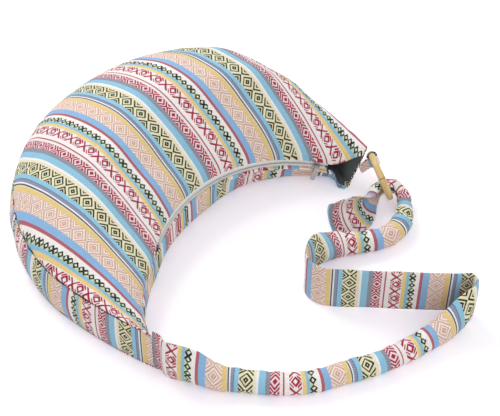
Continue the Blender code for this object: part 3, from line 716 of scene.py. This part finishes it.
def gusset_surface(station, low, high, rows, depth=0.0):
    """Between two heights it bulges as a parabola, and the bulge dies away at the tips."""
    columns = []
    for share in np.linspace(0.0, 1.0, rows):
        bulge = GUSSET_BULGE * 4.0 * share * (1.0 - share) * (1.0 - np.abs(station) ** 6)
        point = seam_line(station, bulge) + (1.0 - share) * tip_slant(station)
        point[:, 2] = low + (high - low) * share
        columns.append(point)
    grid = np.stack(columns, axis=1)
    outward = grid_normals(grid, -1)
    run = SEAM_RUN * station[:, None]
    edge = np.linspace(0.0, 1.0, rows)[None, :]
    near = np.exp(-edge / CREASE_SHARE) + np.exp(-(1.0 - edge) / CREASE_SHARE)
    crease = GUSSET_CREASE * waves(run + 0.01 * edge, SEAM_PUCKERS, 5) * near
    slack = GUSSET_SLACK * waves(run + 0.02 * edge, (0.041, 0.067), 11)
    return grid + (crease + slack * np.sin(math.pi * edge) - depth)[..., None] * outward


across_panel = seam_line(stations) - zip_line(TIP_ANGLE_IN * stations)
panel_width = np.linalg.norm(across_panel[:, :2], axis=1)
by_seam = (1.0 - front_across) * panel_width[:, None] < GUSSET_REACH
gusset_top = np.where(by_seam, front_inside[:, RIM_COLUMNS:, 2], SEAM_TOP).min(axis=1) - GAP
gusset_bottom = np.maximum(back_outside[:, -1, 2], back_inside[:, -1, 2]) + GAP
gusset_outside = gusset_surface(stations, gusset_bottom, gusset_top, GUSSET_ROWS)
gusset_inside = gusset_surface(stations, gusset_bottom, gusset_top, GUSSET_ROWS, CLOTH)
gusset_run = run_along(seam_line(stations))
gusset_stripe = GUSSET_STRIPE_AT_TIP + gusset_run[:, None] / REPEAT
gusset_chart = chart_of(gusset_stripe, gusset_outside[..., 2] / FIGURE)
gusset_cloth = add_sheet("gusset_cloth", gusset_outside, gusset_inside, gusset_chart, cotton, -1)
dress(gusset_cloth, "bag", "striped_cotton", "gusset")


# The lining: dark grey cotton cut like the panels and the gusset, hung just inside them.
# It shows in the open tip, where the gusset's lining reaches the end of the cloth.
LINING_GREY = (104, 107, 110)
LINING_START = 12
LINING_REACH = 0.975
LINING_END = 0.9985
LINING_ROWS = 13


def plain_cloth(name, colour, thread, contrast, roughness):
    """A plain weave of one colour: threads as fine bumps, with a cloudy tone."""
    made, tree, shader = new_finish(name, {"Roughness": roughness, "Specular IOR Level": 0.3})
    place = {"Vector": add_node(tree, "TexCoord").outputs["Object"]}
    clouds = add_node(tree, "TexNoise", {"Scale": 60.0}, place)
    ramp = add_node(tree, "ValToRGB", links={"Fac": clouds.outputs["Fac"]})
    for stop, way in zip(ramp.color_ramp.elements, (-1.0, 1.0)):
        stop.color = (*(np.array(linear(colour)) * (1.0 + way * contrast)), 1.0)
    tree.links.new(ramp.outputs["Color"], shader.inputs["Base Color"])
    weave = add_node(tree, "TexVoronoi", {"Scale": 1.0 / thread}, place)
    add_bump(tree, shader, weave.outputs["Distance"], 0.5, thread / 3.0)
    return made


def add_lining(name, near, far, side):
    """A lining skin between two layers of points, which stands for the node of its name."""
    unmapped = np.zeros(near.shape[:2] + (2,))
    lining = add_sheet(name + "_cloth", near, far, unmapped, lining_cotton, side)
    dress(lining, "bag", "grey_lining", name)


lining_cotton = plain_cloth("grey_lining", LINING_GREY, 0.0007, 0.25, 0.85)
inner = stations[LINING_START:-2]
lining_depth = ZIP_SIDE + TAPE_HALF + GAP
lining_across = even_across(COLUMNS // 2, 0.0, LINING_REACH)
for name, surface, side in (("front_lining", front_surface, 1), ("back_lining", back_surface, -1)):
    near = surface(inner, lining_across, lining_depth)
    far = surface(inner, lining_across, lining_depth + LINING)
    add_lining(name, near, far, side)
inner = np.append(stations[LINING_START:-1], LINING_END)
low = gusset_bottom[LINING_START:] + CLOTH
high = gusset_top[LINING_START:] - CLOTH
near = gusset_surface(inner, low, high, LINING_ROWS, CLOTH + 2 * GAP)
far = gusset_surface(inner, low, high, LINING_ROWS, CLOTH + 2 * GAP + LINING)
add_lining("gusset_lining", near, far, -1)


# The zip fastener: two pale woven tapes sewn under the panel edges, each with a nylon coil,
# and metal stops at the ends. It is closed up to the slider and open beyond it.
TAPE_EDGE = 0.0012
TAPE_FAR_EDGE = 0.0076
TEETH_MIDDLE = 0.00135
COIL_RADIUS = 0.00062
COIL_WIRE = 0.00034
COIL_PITCH = 0.0015
COIL_LIFT = 0.0008
COIL_FLAT = (0.6, 1.35)
STOP_LENGTH = 0.0025
SLIDER_INSET = 0.0147
CLOSED_ANGLE = MOUTH_ANGLE - SLIDER_INSET / ZIP_RADIUS
TAPE_WHITE = (246, 246, 242)
COIL_WHITE = (250, 250, 248)
# The tape's section, with a stitched ridge beside the coil, as side and height
TAPE_SECTION = (
    (-TAPE_HALF, TAPE_EDGE), (TAPE_HALF, TAPE_EDGE), (1.8 * TAPE_HALF, 0.0024), (TAPE_HALF, 0.0034),
    (TAPE_HALF, TAPE_FAR_EDGE), (-TAPE_HALF, TAPE_FAR_EDGE), (-TAPE_HALF, TAPE_EDGE),
)


def tube(path, radius, sides, closed=False):
    """A round tube along a path: rings of points on two axes that turn with the path."""
    path = np.asarray(path, dtype=float)
    if closed:
        along = unit(np.roll(path, -1, axis=0) - np.roll(path, 1, axis=0))
    else:
        along = unit(np.gradient(path, axis=0))
    hint = np.where(np.abs(along[:, 2:]) > 0.9, (1.0, 0.0, 0.0), (0.0, 0.0, 1.0))
    first = unit(np.cross(along, hint))
    second = np.cross(along, first)
    turn = np.linspace(0.0, 2.0 * math.pi, sides + 1)
    radius = np.broadcast_to(radius, len(path))[:, None, None]
    ring = np.cos(turn)[:, None] * first[:, None] + np.sin(turn)[:, None] * second[:, None]
    grid = path[:, None] + radius * ring
    if closed:
        return np.concatenate((grid, grid[:1]))
    first_end = np.repeat(path[:1, None], sides + 1, axis=1)
    last_end = np.repeat(path[-1:, None], sides + 1, axis=1)
    return np.concatenate((first_end, grid, last_end))


def plain_patch(grid):
    """A patch without a pattern of its own, mapped by its row and column numbers."""
    rows, columns = np.indices(grid.shape[:2])
    return in_frame(grid), chart_of(rows / 10.0, columns / 10.0)


zip_tape_cloth = plain_cloth("zip_tape", TAPE_WHITE, 0.0006, 0.05, 0.75)
coil_nylon = plain_cloth("zip_teeth", COIL_WHITE, 0.0005, 0.04, 0.4)
last = MOUTH_ANGLE - 3.0 * GAP / ZIP_RADIUS
tape_turn = np.linspace(END_ANGLE, last, 240)
for name, way in (("front", 1), ("back", -1)):
    grid = np.stack([zip_line(tape_turn, side, way * height) for side, height in TAPE_SECTION], axis=1)
    middles = grid.mean(axis=1, keepdims=True).repeat(len(TAPE_SECTION), 1)
    grid = np.concatenate((middles[:1], grid, middles[-1:]))[:, ::-way]
    tape = add_piece("tape_" + name, [plain_patch(grid)], zip_tape_cloth)
    dress(tape, "bag", "zip_tape", "zip_tape_" + name)

    stop = STOP_LENGTH / ZIP_RADIUS
    low = END_ANGLE + stop + GAP / ZIP_RADIUS
    high = last - stop - GAP / ZIP_RADIUS
    turns = int((high - low) * ZIP_RADIUS / COIL_PITCH)
    twist = np.linspace(0.0, 2.0 * math.pi * turns, turns * 9)
    angle = np.linspace(low, high, len(twist))
    side = TAPE_HALF + GAP + COIL_LIFT + COIL_RADIUS * COIL_FLAT[0] * np.sin(twist)
    path = zip_line(angle, side, way * TEETH_MIDDLE + COIL_RADIUS * COIL_FLAT[1] * np.cos(twist))
    coil = add_piece("coil_" + name, [plain_patch(tube(path, COIL_WIRE, 5))], coil_nylon)
    dress(coil, "bag", "zip_teeth", "zip_teeth_" + name)


# The slider and its puller, cast and nickelled: two shield-shaped plates round the tapes, a bail
# on top, and a tongue that hangs from the bail by its eye, with a small oval pressed into its end.
SLIDER_LENGTH = 0.009
SLIDER_HALF = 0.0042
SLIDER_PLATE = 0.0012
SLIDER_GAP = 0.0004
SLIDER_NARROW = 0.86
POST_PLACE = 0.0025
POST_RADIUS = 0.00038
BAIL_WIRE = 0.0012
BAIL_HALF_SPAN = 0.0029
PULLER_LENGTH = 0.024
PULLER_HALF_WIDTH = 0.0031
PULLER_HALF_THICKNESS = 0.00062
EYE_CLEARANCE = 0.00035
EYE_WALL = 0.0007
EYE_STEPS = (-0.0016, -0.0008, 0.0, 0.0008, 0.0016)
EYE_OUTER = BAIL_WIRE / math.sqrt(2.0) + EYE_CLEARANCE + EYE_WALL
OVAL_PLACE = 0.80
OVAL_HALF_LENGTH = 0.13
OVAL_HALF_WIDTH = 0.55
NICKEL_GREY = (168, 168, 172)


def nickel_finish():
    """Polished nickel with fine tumbling marks that are duller in places."""
    values = {"Base Color": (*linear(NICKEL_GREY), 1.0), "Metallic": 1.0}
    made, tree, shader = new_finish("nickel", values)
    place = {"Vector": add_node(tree, "TexCoord").outputs["Object"]}
    marks = add_node(tree, "TexNoise", {"Scale": 900.0}, place)
    dull = add_node(tree, "MapRange", {"To Min": 0.18, "To Max": 0.38}, {"Value": marks.outputs["Fac"]})
    tree.links.new(dull.outputs["Result"], shader.inputs["Roughness"])
    add_bump(tree, shader, marks.outputs["Fac"], 0.15, 0.0001)
    return made


nickel = nickel_finish()
slider_place = zip_line(CLOSED_ANGLE)
slider_along = math.cos(CLOSED_ANGLE) * np.array((1.0, 0.0, 0.0)) - math.sin(CLOSED_ANGLE) * ZIP_CLIMB
slider_out = unit(zip_line(CLOSED_ANGLE, 1e-3) - slider_place)
slider_up = unit(zip_line(CLOSED_ANGLE, 0.0, 1e-3) - slider_place)
plate_outer = ZIP_SIDE + SLIDER_GAP + SLIDER_PLATE / 2
plate_inner = -(TAPE_HALF + GAP + LINING + SLIDER_GAP + SLIDER_PLATE / 2)


def pillow(place, along, across, up, lengths, half_widths, half_thickness, sides=20):
    """A closed bar with rounded flat sections: |a|^4 + |b|^4 = 1 at each length along it."""
    turn = np.linspace(0.0, 2.0 * math.pi, sides + 1)
    flat = np.sign(np.cos(turn)) * np.abs(np.cos(turn)) ** 0.5
    deep = np.sign(np.sin(turn)) * np.abs(np.sin(turn)) ** 0.5
    grid = place + lengths[:, None, None] * along
    grid = grid + (half_widths[:, None] * flat)[..., None] * across
    return grid + (half_thickness[:, None] * deep)[..., None] * up


def rounded(lengths, width, end):
    """Half widths that close as an ellipse over the last stretch at both ends."""
    reach = lengths[-1] - lengths[0]
    edge = np.minimum(lengths - lengths[0], lengths[-1] - lengths)
    inside = np.minimum(edge / min(end, reach / 2), 1.0)
    return width * np.sqrt(np.maximum(0.0, 1.0 - (1.0 - inside) ** 2))


run = SLIDER_LENGTH / 2 * -np.cos(np.linspace(0.0, math.pi, 22))
shield = rounded(run, SLIDER_HALF, 0.0022)
shield = shield * (SLIDER_NARROW + (1.0 - SLIDER_NARROW) * (run / SLIDER_LENGTH + 0.5))
thick = rounded(run, SLIDER_PLATE / 2, 0.0008)
patches = []
for side in (plate_outer, plate_inner):
    grid = pillow(slider_place + side * slider_out, slider_along, slider_up, slider_out, run, shield, thick)
    patches.append(plain_patch(grid))
post = np.linspace(plate_inner, plate_outer, 4)
post = slider_place + post[:, None] * slider_out + POST_PLACE * slider_along
patches.append(plain_patch(tube(post, POST_RADIUS, 8)))
bar_height = ZIP_SIDE + SLIDER_GAP + SLIDER_PLATE + GAP + EYE_OUTER
turn = np.linspace(0.0, math.pi, 26)
arch = slider_place - (BAIL_HALF_SPAN + BAIL_WIRE / 2) * np.cos(turn)[:, None] * slider_along
arch = arch + (plate_outer + (bar_height - plate_outer) * np.sin(turn)[:, None] ** 0.45) * slider_out
patches.append(plain_patch(tube(arch, BAIL_WIRE / 2, 10)))
slider = add_piece("slider", patches, nickel, 50.0)
dress(slider, "slider", "nickel", "zip_slider")

pivot = slider_place + bar_height * slider_out
hang = unit(np.array((0.0, 0.0, -1.0)) + slider_along[2] * slider_along)
aside = np.cross(slider_along, hang)
turn = np.linspace(0.0, 2.0 * math.pi, 24, endpoint=False)
eye_radius = EYE_OUTER - 0.00045
eye = pivot + eye_radius * (np.cos(turn)[:, None] * hang + np.sin(turn)[:, None] * aside)
patches = []
for step in EYE_STEPS:
    patches.append(plain_patch(tube(eye + step * slider_along, 0.0005, 8, closed=True)))
tongue = np.linspace(eye_radius, PULLER_LENGTH - EYE_OUTER, 60)
share = (tongue - tongue[0]) / (tongue[-1] - tongue[0])
tongue_half = PULLER_HALF_WIDTH * (0.52 + 0.48 * smooth_step(share, 0.1, 0.75))
tongue_half = np.minimum(tongue_half, rounded(tongue, PULLER_HALF_WIDTH, 0.0036))
tongue_thick = rounded(tongue, PULLER_HALF_THICKNESS, 0.0012)
grid = pillow(pivot, hang, slider_along, aside, tongue, tongue_half, tongue_thick, 36)
along_oval = (share[:, None] - OVAL_PLACE) / OVAL_HALF_LENGTH
across_oval = np.cos(np.linspace(0.0, 2.0 * math.pi, 37))[None, :] / OVAL_HALF_WIDTH
dent = np.clip(1.15 - along_oval ** 2 - across_oval ** 2, 0.0, 0.3) / 0.3
middle = pivot + tongue[:, None, None] * hang
depth = (grid - middle) @ aside
grid = grid - (dent * depth * 0.55)[..., None] * aside
patches.append(plain_patch(grid))
puller = add_piece("puller", patches, nickel, 50.0)
dress(puller, "puller", "nickel", "zip_puller")


# The bamboo ring: a rod of split bamboo steamed round and glued, varnished, with its nodes left as
# faint swellings. It hangs in a cloth loop at the ring tip and turns freely in it.
RING_RADIUS = 0.026
RING_ROD = 0.0041
RING_NORMAL = unit((0.76, -0.55, 0.35))
RING_LEVEL = unit(np.array((-RING_NORMAL[1], RING_NORMAL[0], 0.0)))
RING_UP = np.cross(RING_NORMAL, RING_LEVEL)
ring_low, ring_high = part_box("bamboo_ring")
RING_CENTRE = np.array((ring_low + ring_high) / 2)
DARK_STRAW = (196, 152, 84)
PALE_STRAW = (240, 212, 148)
NODE_BROWN = (140, 92, 46)


def bamboo_finish():
    """Pale straw with long fibres round the ring, tan patches, and a brown line at each node."""
    values = {"Roughness": 0.38, "Coat Weight": 0.3, "Coat Roughness": 0.2}
    made, tree, shader = new_finish("bamboo", values)
    uv, round_ring, _ = cloth_map(tree)
    stretch = add_node(tree, "Mapping", {"Scale": (3.0, 14.0, 1.0)}, {"Vector": uv})
    grain = {"Scale": 2.2, "Detail": 6.0}
    fibre = add_node(tree, "TexNoise", grain, {"Vector": stretch.outputs[0]})
    ramp = add_node(tree, "ValToRGB", links={"Fac": fibre.outputs["Fac"]})
    straws = ((0.3, DARK_STRAW), (0.62, PALE_STRAW))
    for stop, (position, colour) in zip(ramp.color_ramp.elements, straws):
        stop.position = position
        stop.color = (*linear(colour), 1.0)
    node_line = abs((round_ring * 3.0 + 0.35).fraction() - 0.5).under(0.012)
    colour = mix_colours(tree, node_line * 0.7, ramp.outputs["Color"], rgb(tree, NODE_BROWN))
    tree.links.new(colour, shader.inputs["Base Color"])
    add_bump(tree, shader, fibre.outputs["Fac"], 0.2, 0.0003)
    return made


turn = np.linspace(0.0, 2.0 * math.pi, 145)
side = np.linspace(0.0, 2.0 * math.pi, 29)
swell = 1.0 - 0.05 * np.cos(turn * 3.0 + 1.0) - 0.03 + 0.02 * np.cos(turn * 5.0)
out = np.cos(turn)[:, None] * RING_LEVEL + np.sin(turn)[:, None] * RING_UP
rod = (RING_ROD * np.minimum(swell, 1.0))[:, None, None]
grid = RING_CENTRE + (RING_RADIUS * out)[:, None]
section = np.cos(side)[None, :, None] * out[:, None] + np.sin(side)[None, :, None] * RING_NORMAL
grid = grid + rod * section
chart = chart_of(turn[:, None], side[None, :]) / (2.0 * math.pi)
ring = add_piece("ring", [(grid[:, ::-1], chart[:, ::-1])], bamboo_finish())
dress(ring, "ring", "bamboo", "bamboo_ring")


# The ring loop: a tab of the striped cloth, folded round the ring's rod and sewn into the ring tip.
# Its line is drawn in a plane with u away from the ring and v along the ring's axis, then turned.
LOOP_CLEARANCE = 0.0009
LOOP_CLOTH = 0.0015
LOOP_HEIGHT = 0.024
LOOP_TAB_HALF = 0.0016
LOOP_STRIPE = 0.62

tip_heading = unit(seam_line(1.0) - seam_line(1.0 - 1e-4))
tip = in_frame(seam_line(1.0) + (2 * GAP + LOOP_TAB_HALF) * tip_heading)
tip = tip + (1.0 - RING_CENTRE[2] / SEAM_TOP) * TIP_SLANT
tip[2] = RING_CENTRE[2]
toward = unit((tip - RING_CENTRE) - np.dot(tip - RING_CENTRE, RING_NORMAL) * RING_NORMAL)
rod_middle = RING_CENTRE + RING_RADIUS * toward
away = (np.dot(tip - rod_middle, toward), np.dot(tip - rod_middle, RING_NORMAL))
reach = math.hypot(*away)
heading = math.atan2(away[1], away[0])
middle_radius = RING_ROD + LOOP_CLEARANCE + LOOP_CLOTH / 2
tab_half = 0.6 * LOOP_TAB_HALF
start = math.asin(tab_half / middle_radius)
bend = np.linspace(start, 2.0 * math.pi - start, 50)
straight = np.linspace(reach, middle_radius * math.cos(start), 10)[:-1]
line_u = np.concatenate((straight, middle_radius * np.cos(bend), straight[::-1]))
beside = np.full(len(straight), tab_half)
line_v = np.concatenate((beside, middle_radius * np.sin(bend), -beside))
loop_run = run_along(np.stack((line_u, line_v), axis=-1))
ahead = unit(np.stack((np.gradient(line_u), np.gradient(line_v)), axis=-1))
ways = np.linspace(-LOOP_HEIGHT / (2 * RING_RADIUS), LOOP_HEIGHT / (2 * RING_RADIUS), 17)
faces = []
for push in (LOOP_CLOTH / 2, -LOOP_CLOTH / 2):
    u = line_u + push * ahead[:, 1]
    v = line_v - push * ahead[:, 0]
    radial = u * math.cos(heading) - v * math.sin(heading)
    sideways = u * math.sin(heading) + v * math.cos(heading)
    turned = np.cos(ways)[:, None] * toward + np.sin(ways)[:, None] * np.cross(RING_NORMAL, toward)
    grid = RING_CENTRE + (RING_RADIUS + radial)[:, None, None] * turned[None]
    faces.append(grid + sideways[:, None, None] * RING_NORMAL)
chart = chart_of(LOOP_STRIPE + loop_run[:, None] / REPEAT, ways[None, :] * RING_RADIUS / FIGURE)
loop = add_piece("loop_tab", sheet_patches(faces[0], faces[1], chart), cotton)
dress(loop, "bag", "striped_cotton", "ring_loop")


# The shoulder strap: two strips of the striped cloth sewn back to back, 60 mm wide and 0.885 m long,
# sewn to the strap tip. It lies rolled on itself, turns back, and is drawn through the ring.
STRAP_WIDTH = 0.060
STRAP_THICKNESS = 0.0033
STRAP_FLOOR_GAP = 0.0006
STRAP_START = ((0.0013, 0.0), (0.0090, 0.0))
RING_CLEARANCE = 0.0020
RING_HUG = math.radians(42.0)
RING_CURL = 320.0
RING_GATHER = 0.58
GATHER_REACH = (0.012, 0.055)
LIFT_REACH = (0.006, 0.032)
STRAP_STRIPE_OUT = 0.50112
STRAP_STRIPE_IN = 4.44663
STRAP_REPEAT = 0.12508
RING_PULL = 0.015
PULL_FROM = (0.64, 0.83)
STRAP_CREASES = (0.0093, 0.0141, 0.021)
STRAP_PUCKER = 0.0009
STRAP_SWELL = 0.0005
# From the strap tip along the floor and round the far bend: x, y and curl in degrees
ROUTE_FROM_TIP = (
    (-0.0010, -0.0195, 25), (0.0040, -0.0351, 70), (0.0147, -0.0525, 160),
    (0.0253, -0.0673, 260), (0.0361, -0.0809, 310), (0.0517, -0.1039, 330),
    (0.0693, -0.1263, 330), (0.0913, -0.1452, 330), (0.1218, -0.1630, 330),
    (0.1513, -0.1795, 330), (0.1836, -0.1919, 325), (0.2114, -0.2003, 300),
    (0.2331, -0.2077, 220), (0.2510, -0.2140, 110), (0.2645, -0.2155, 30),
    (0.2745, -0.2111, 0), (0.2774, -0.2015, 0), (0.2643, -0.1873, 0),
)
# From the straight run to the ring, measured from the ring's centre
ROUTE_TO_RING = (
    (-0.1309, -0.1219, 0), (-0.1635, -0.0796, 0), (-0.1793, -0.0579, 0),
    (-0.1825, -0.0441, 0), (-0.1783, -0.0311, 0), (-0.1668, -0.0231, 20),
    (-0.1510, -0.0190, 70), (-0.1344, -0.0187, 140), (-0.1143, -0.0218, 230),
    (-0.0965, -0.0323, 290), (-0.0770, -0.0460, 315), (-0.0600, -0.0550, 320),
    (-0.0440, -0.0565, 320), (-0.0290, -0.0530, 320), (-0.0150, -0.0460, 320),
    (-0.0030, -0.0375, 320), (0.0055, -0.0280, 320), (0.0055, -0.0170, 320),
)
# The end left over past the ring: x, y, curl, and the lean of its face from upright
ROUTE_FLAP = (
    (-0.0150, -0.0050, 290, -5), (-0.0290, -0.0070, 225, -15), (-0.0440, -0.0090, 180, -25),
    (-0.0600, -0.0070, 155, -32), (-0.0750, -0.0020, 145, -36), (-0.0870, 0.0030, 140, -38),
)
STRAP_STEPS = 9
STRAP_COLUMNS = 33

bunch = RING_GATHER * STRAP_WIDTH / math.radians(RING_CURL) + STRAP_THICKNESS / 2
hug_distance = RING_RADIUS - RING_ROD - RING_CLEARANCE - bunch
hug_heading = math.cos(RING_HUG) * RING_LEVEL + math.sin(RING_HUG) * RING_UP
crossing = RING_CENTRE - hug_distance * hug_heading


def smooth_route(points, steps):
    """A smooth curve through chosen points, by the cubic that keeps the slope of their neighbours."""
    padded = np.vstack((2 * points[0] - points[1], points, 2 * points[-1] - points[-2]))
    a, b, c, d = (padded[k:len(padded) - 3 + k][:, None] for k in range(4))
    share = (np.arange(steps) / steps)[None, :, None]
    bend = (2 * a - 5 * b + 4 * c - d) * share ** 2 + (3 * b - a - 3 * c + d) * share ** 3
    curve = b + 0.5 * ((c - a) * share + bend)
    return np.vstack((curve.reshape(-1, points.shape[1]), points[-1:]))


strap_tip = seam_line(-1.0)
strap_heading = unit(strap_tip - seam_line(-1.0 + 1e-4))
wall = np.array((-strap_heading[1], strap_heading[0], 0.0)) * CLOTH / 2
strap_tip = in_frame(strap_tip)
points = [(*(strap_tip + wall + way * strap_heading)[:2], curl, 0.0) for way, curl in STRAP_START]
points += [(strap_tip[0] + x, strap_tip[1] + y, curl, 0.0) for x, y, curl in ROUTE_FROM_TIP]
points += [(RING_CENTRE[0] + x, RING_CENTRE[1] + y, curl, 0.0) for x, y, curl in ROUTE_TO_RING]
points.append((*crossing[:2], RING_CURL, 0.0))
points += [(RING_CENTRE[0] + x, RING_CENTRE[1] + y, *turns) for x, y, *turns in ROUTE_FLAP]
route = smooth_route(np.array(points), STRAP_STEPS)
path = np.column_stack((route[:, :2], np.zeros(len(route))))
strap_run = run_along(path)
away = np.linalg.norm(path[:, :2] - crossing[:2], axis=1)
gather = RING_GATHER + (1.0 - RING_GATHER) * smooth_step(away, *GATHER_REACH)
curl = np.radians(route[:, 2])
curl = np.where(np.abs(curl) < 1e-3, 1e-3, curl)
bend_radius = (gather * STRAP_WIDTH / curl)[:, None]
lean = np.radians(route[:, 3])[:, None]
ahead = unit(np.gradient(path, axis=0))
flat = np.cross(ahead, (0.0, 0.0, 1.0))
upright = np.array((0.0, 0.0, 1.0))
upward = np.cos(lean) * upright - np.sin(lean) * flat
face = np.cos(lean) * flat + np.sin(lean) * upright
width_share = np.linspace(-0.5, 0.5, STRAP_COLUMNS)
bend = curl[:, None] * width_share
sagitta = bend_radius * (1.0 - np.cos(np.minimum(np.abs(bend), math.pi))).max(axis=1, keepdims=True) / 2
edge_round = np.sqrt(1.0 - np.abs(2.0 * width_share) ** 10)
loose = smooth_step(np.abs(route[:, 2]), 60.0, 200.0)[:, None]
pucker = STRAP_PUCKER * waves(strap_run[:, None] + 0.006 * width_share, STRAP_CREASES, 21) * loose
pucker = pucker + STRAP_SWELL * waves(strap_run[:, None] + 0.03 * width_share, (0.05, 0.083), 23)


def strap_layer(depth):
    """The strap's section is an arc of its curl, pushed in or out by a depth and by the puckers."""
    push = depth * edge_round[None, :] + pucker
    out = bend_radius * (np.cos(bend) - 1.0) + sagitta + push * np.cos(bend)
    rise = (bend_radius + push) * np.sin(bend)
    return path[:, None] + out[..., None] * face[:, None] + rise[..., None] * upward[:, None]


half = STRAP_THICKNESS / 2
lowest = np.minimum(strap_layer(half)[..., 2], strap_layer(-half)[..., 2]).min(axis=1)
ground = STRAP_FLOOR_GAP - lowest
lift = 1.0 - smooth_step(away, *LIFT_REACH)
path[:, 2] = ground + lift * np.maximum(crossing[2] - ground, 0.0)
strap_out = strap_layer(half)
strap_in = strap_layer(-half)
counted = strap_run - RING_PULL * smooth_step(strap_run, *PULL_FROM)
stripes = counted[:, None] / STRAP_REPEAT
figures = width_share[None, :] * STRAP_WIDTH / FIGURE
chart_out = chart_of(STRAP_STRIPE_OUT + stripes, figures)
chart_in = chart_of(STRAP_STRIPE_IN - stripes, figures)
patches = [(strap_out, chart_out), (strap_in[::-1], chart_in[::-1])]
for row, way in ((0, -1), (-1, 1)):
    patches.append(edge_patch(strap_out[row], strap_in[row], chart_out[row], way))
strap = add_piece("shoulder_strap", patches, cotton)
dress(strap, "bag", "striped_cotton", "strap_outer_strip", "strap_inner_strip")


# The zip's metal stops are the only CAD solids that still show, and take the slider's finish.
for name in ("zip_top_stop_front", "zip_top_stop_back", "zip_bottom_stop"):
    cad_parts[name].data.materials.clear()
    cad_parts[name].data.materials.append(nickel)
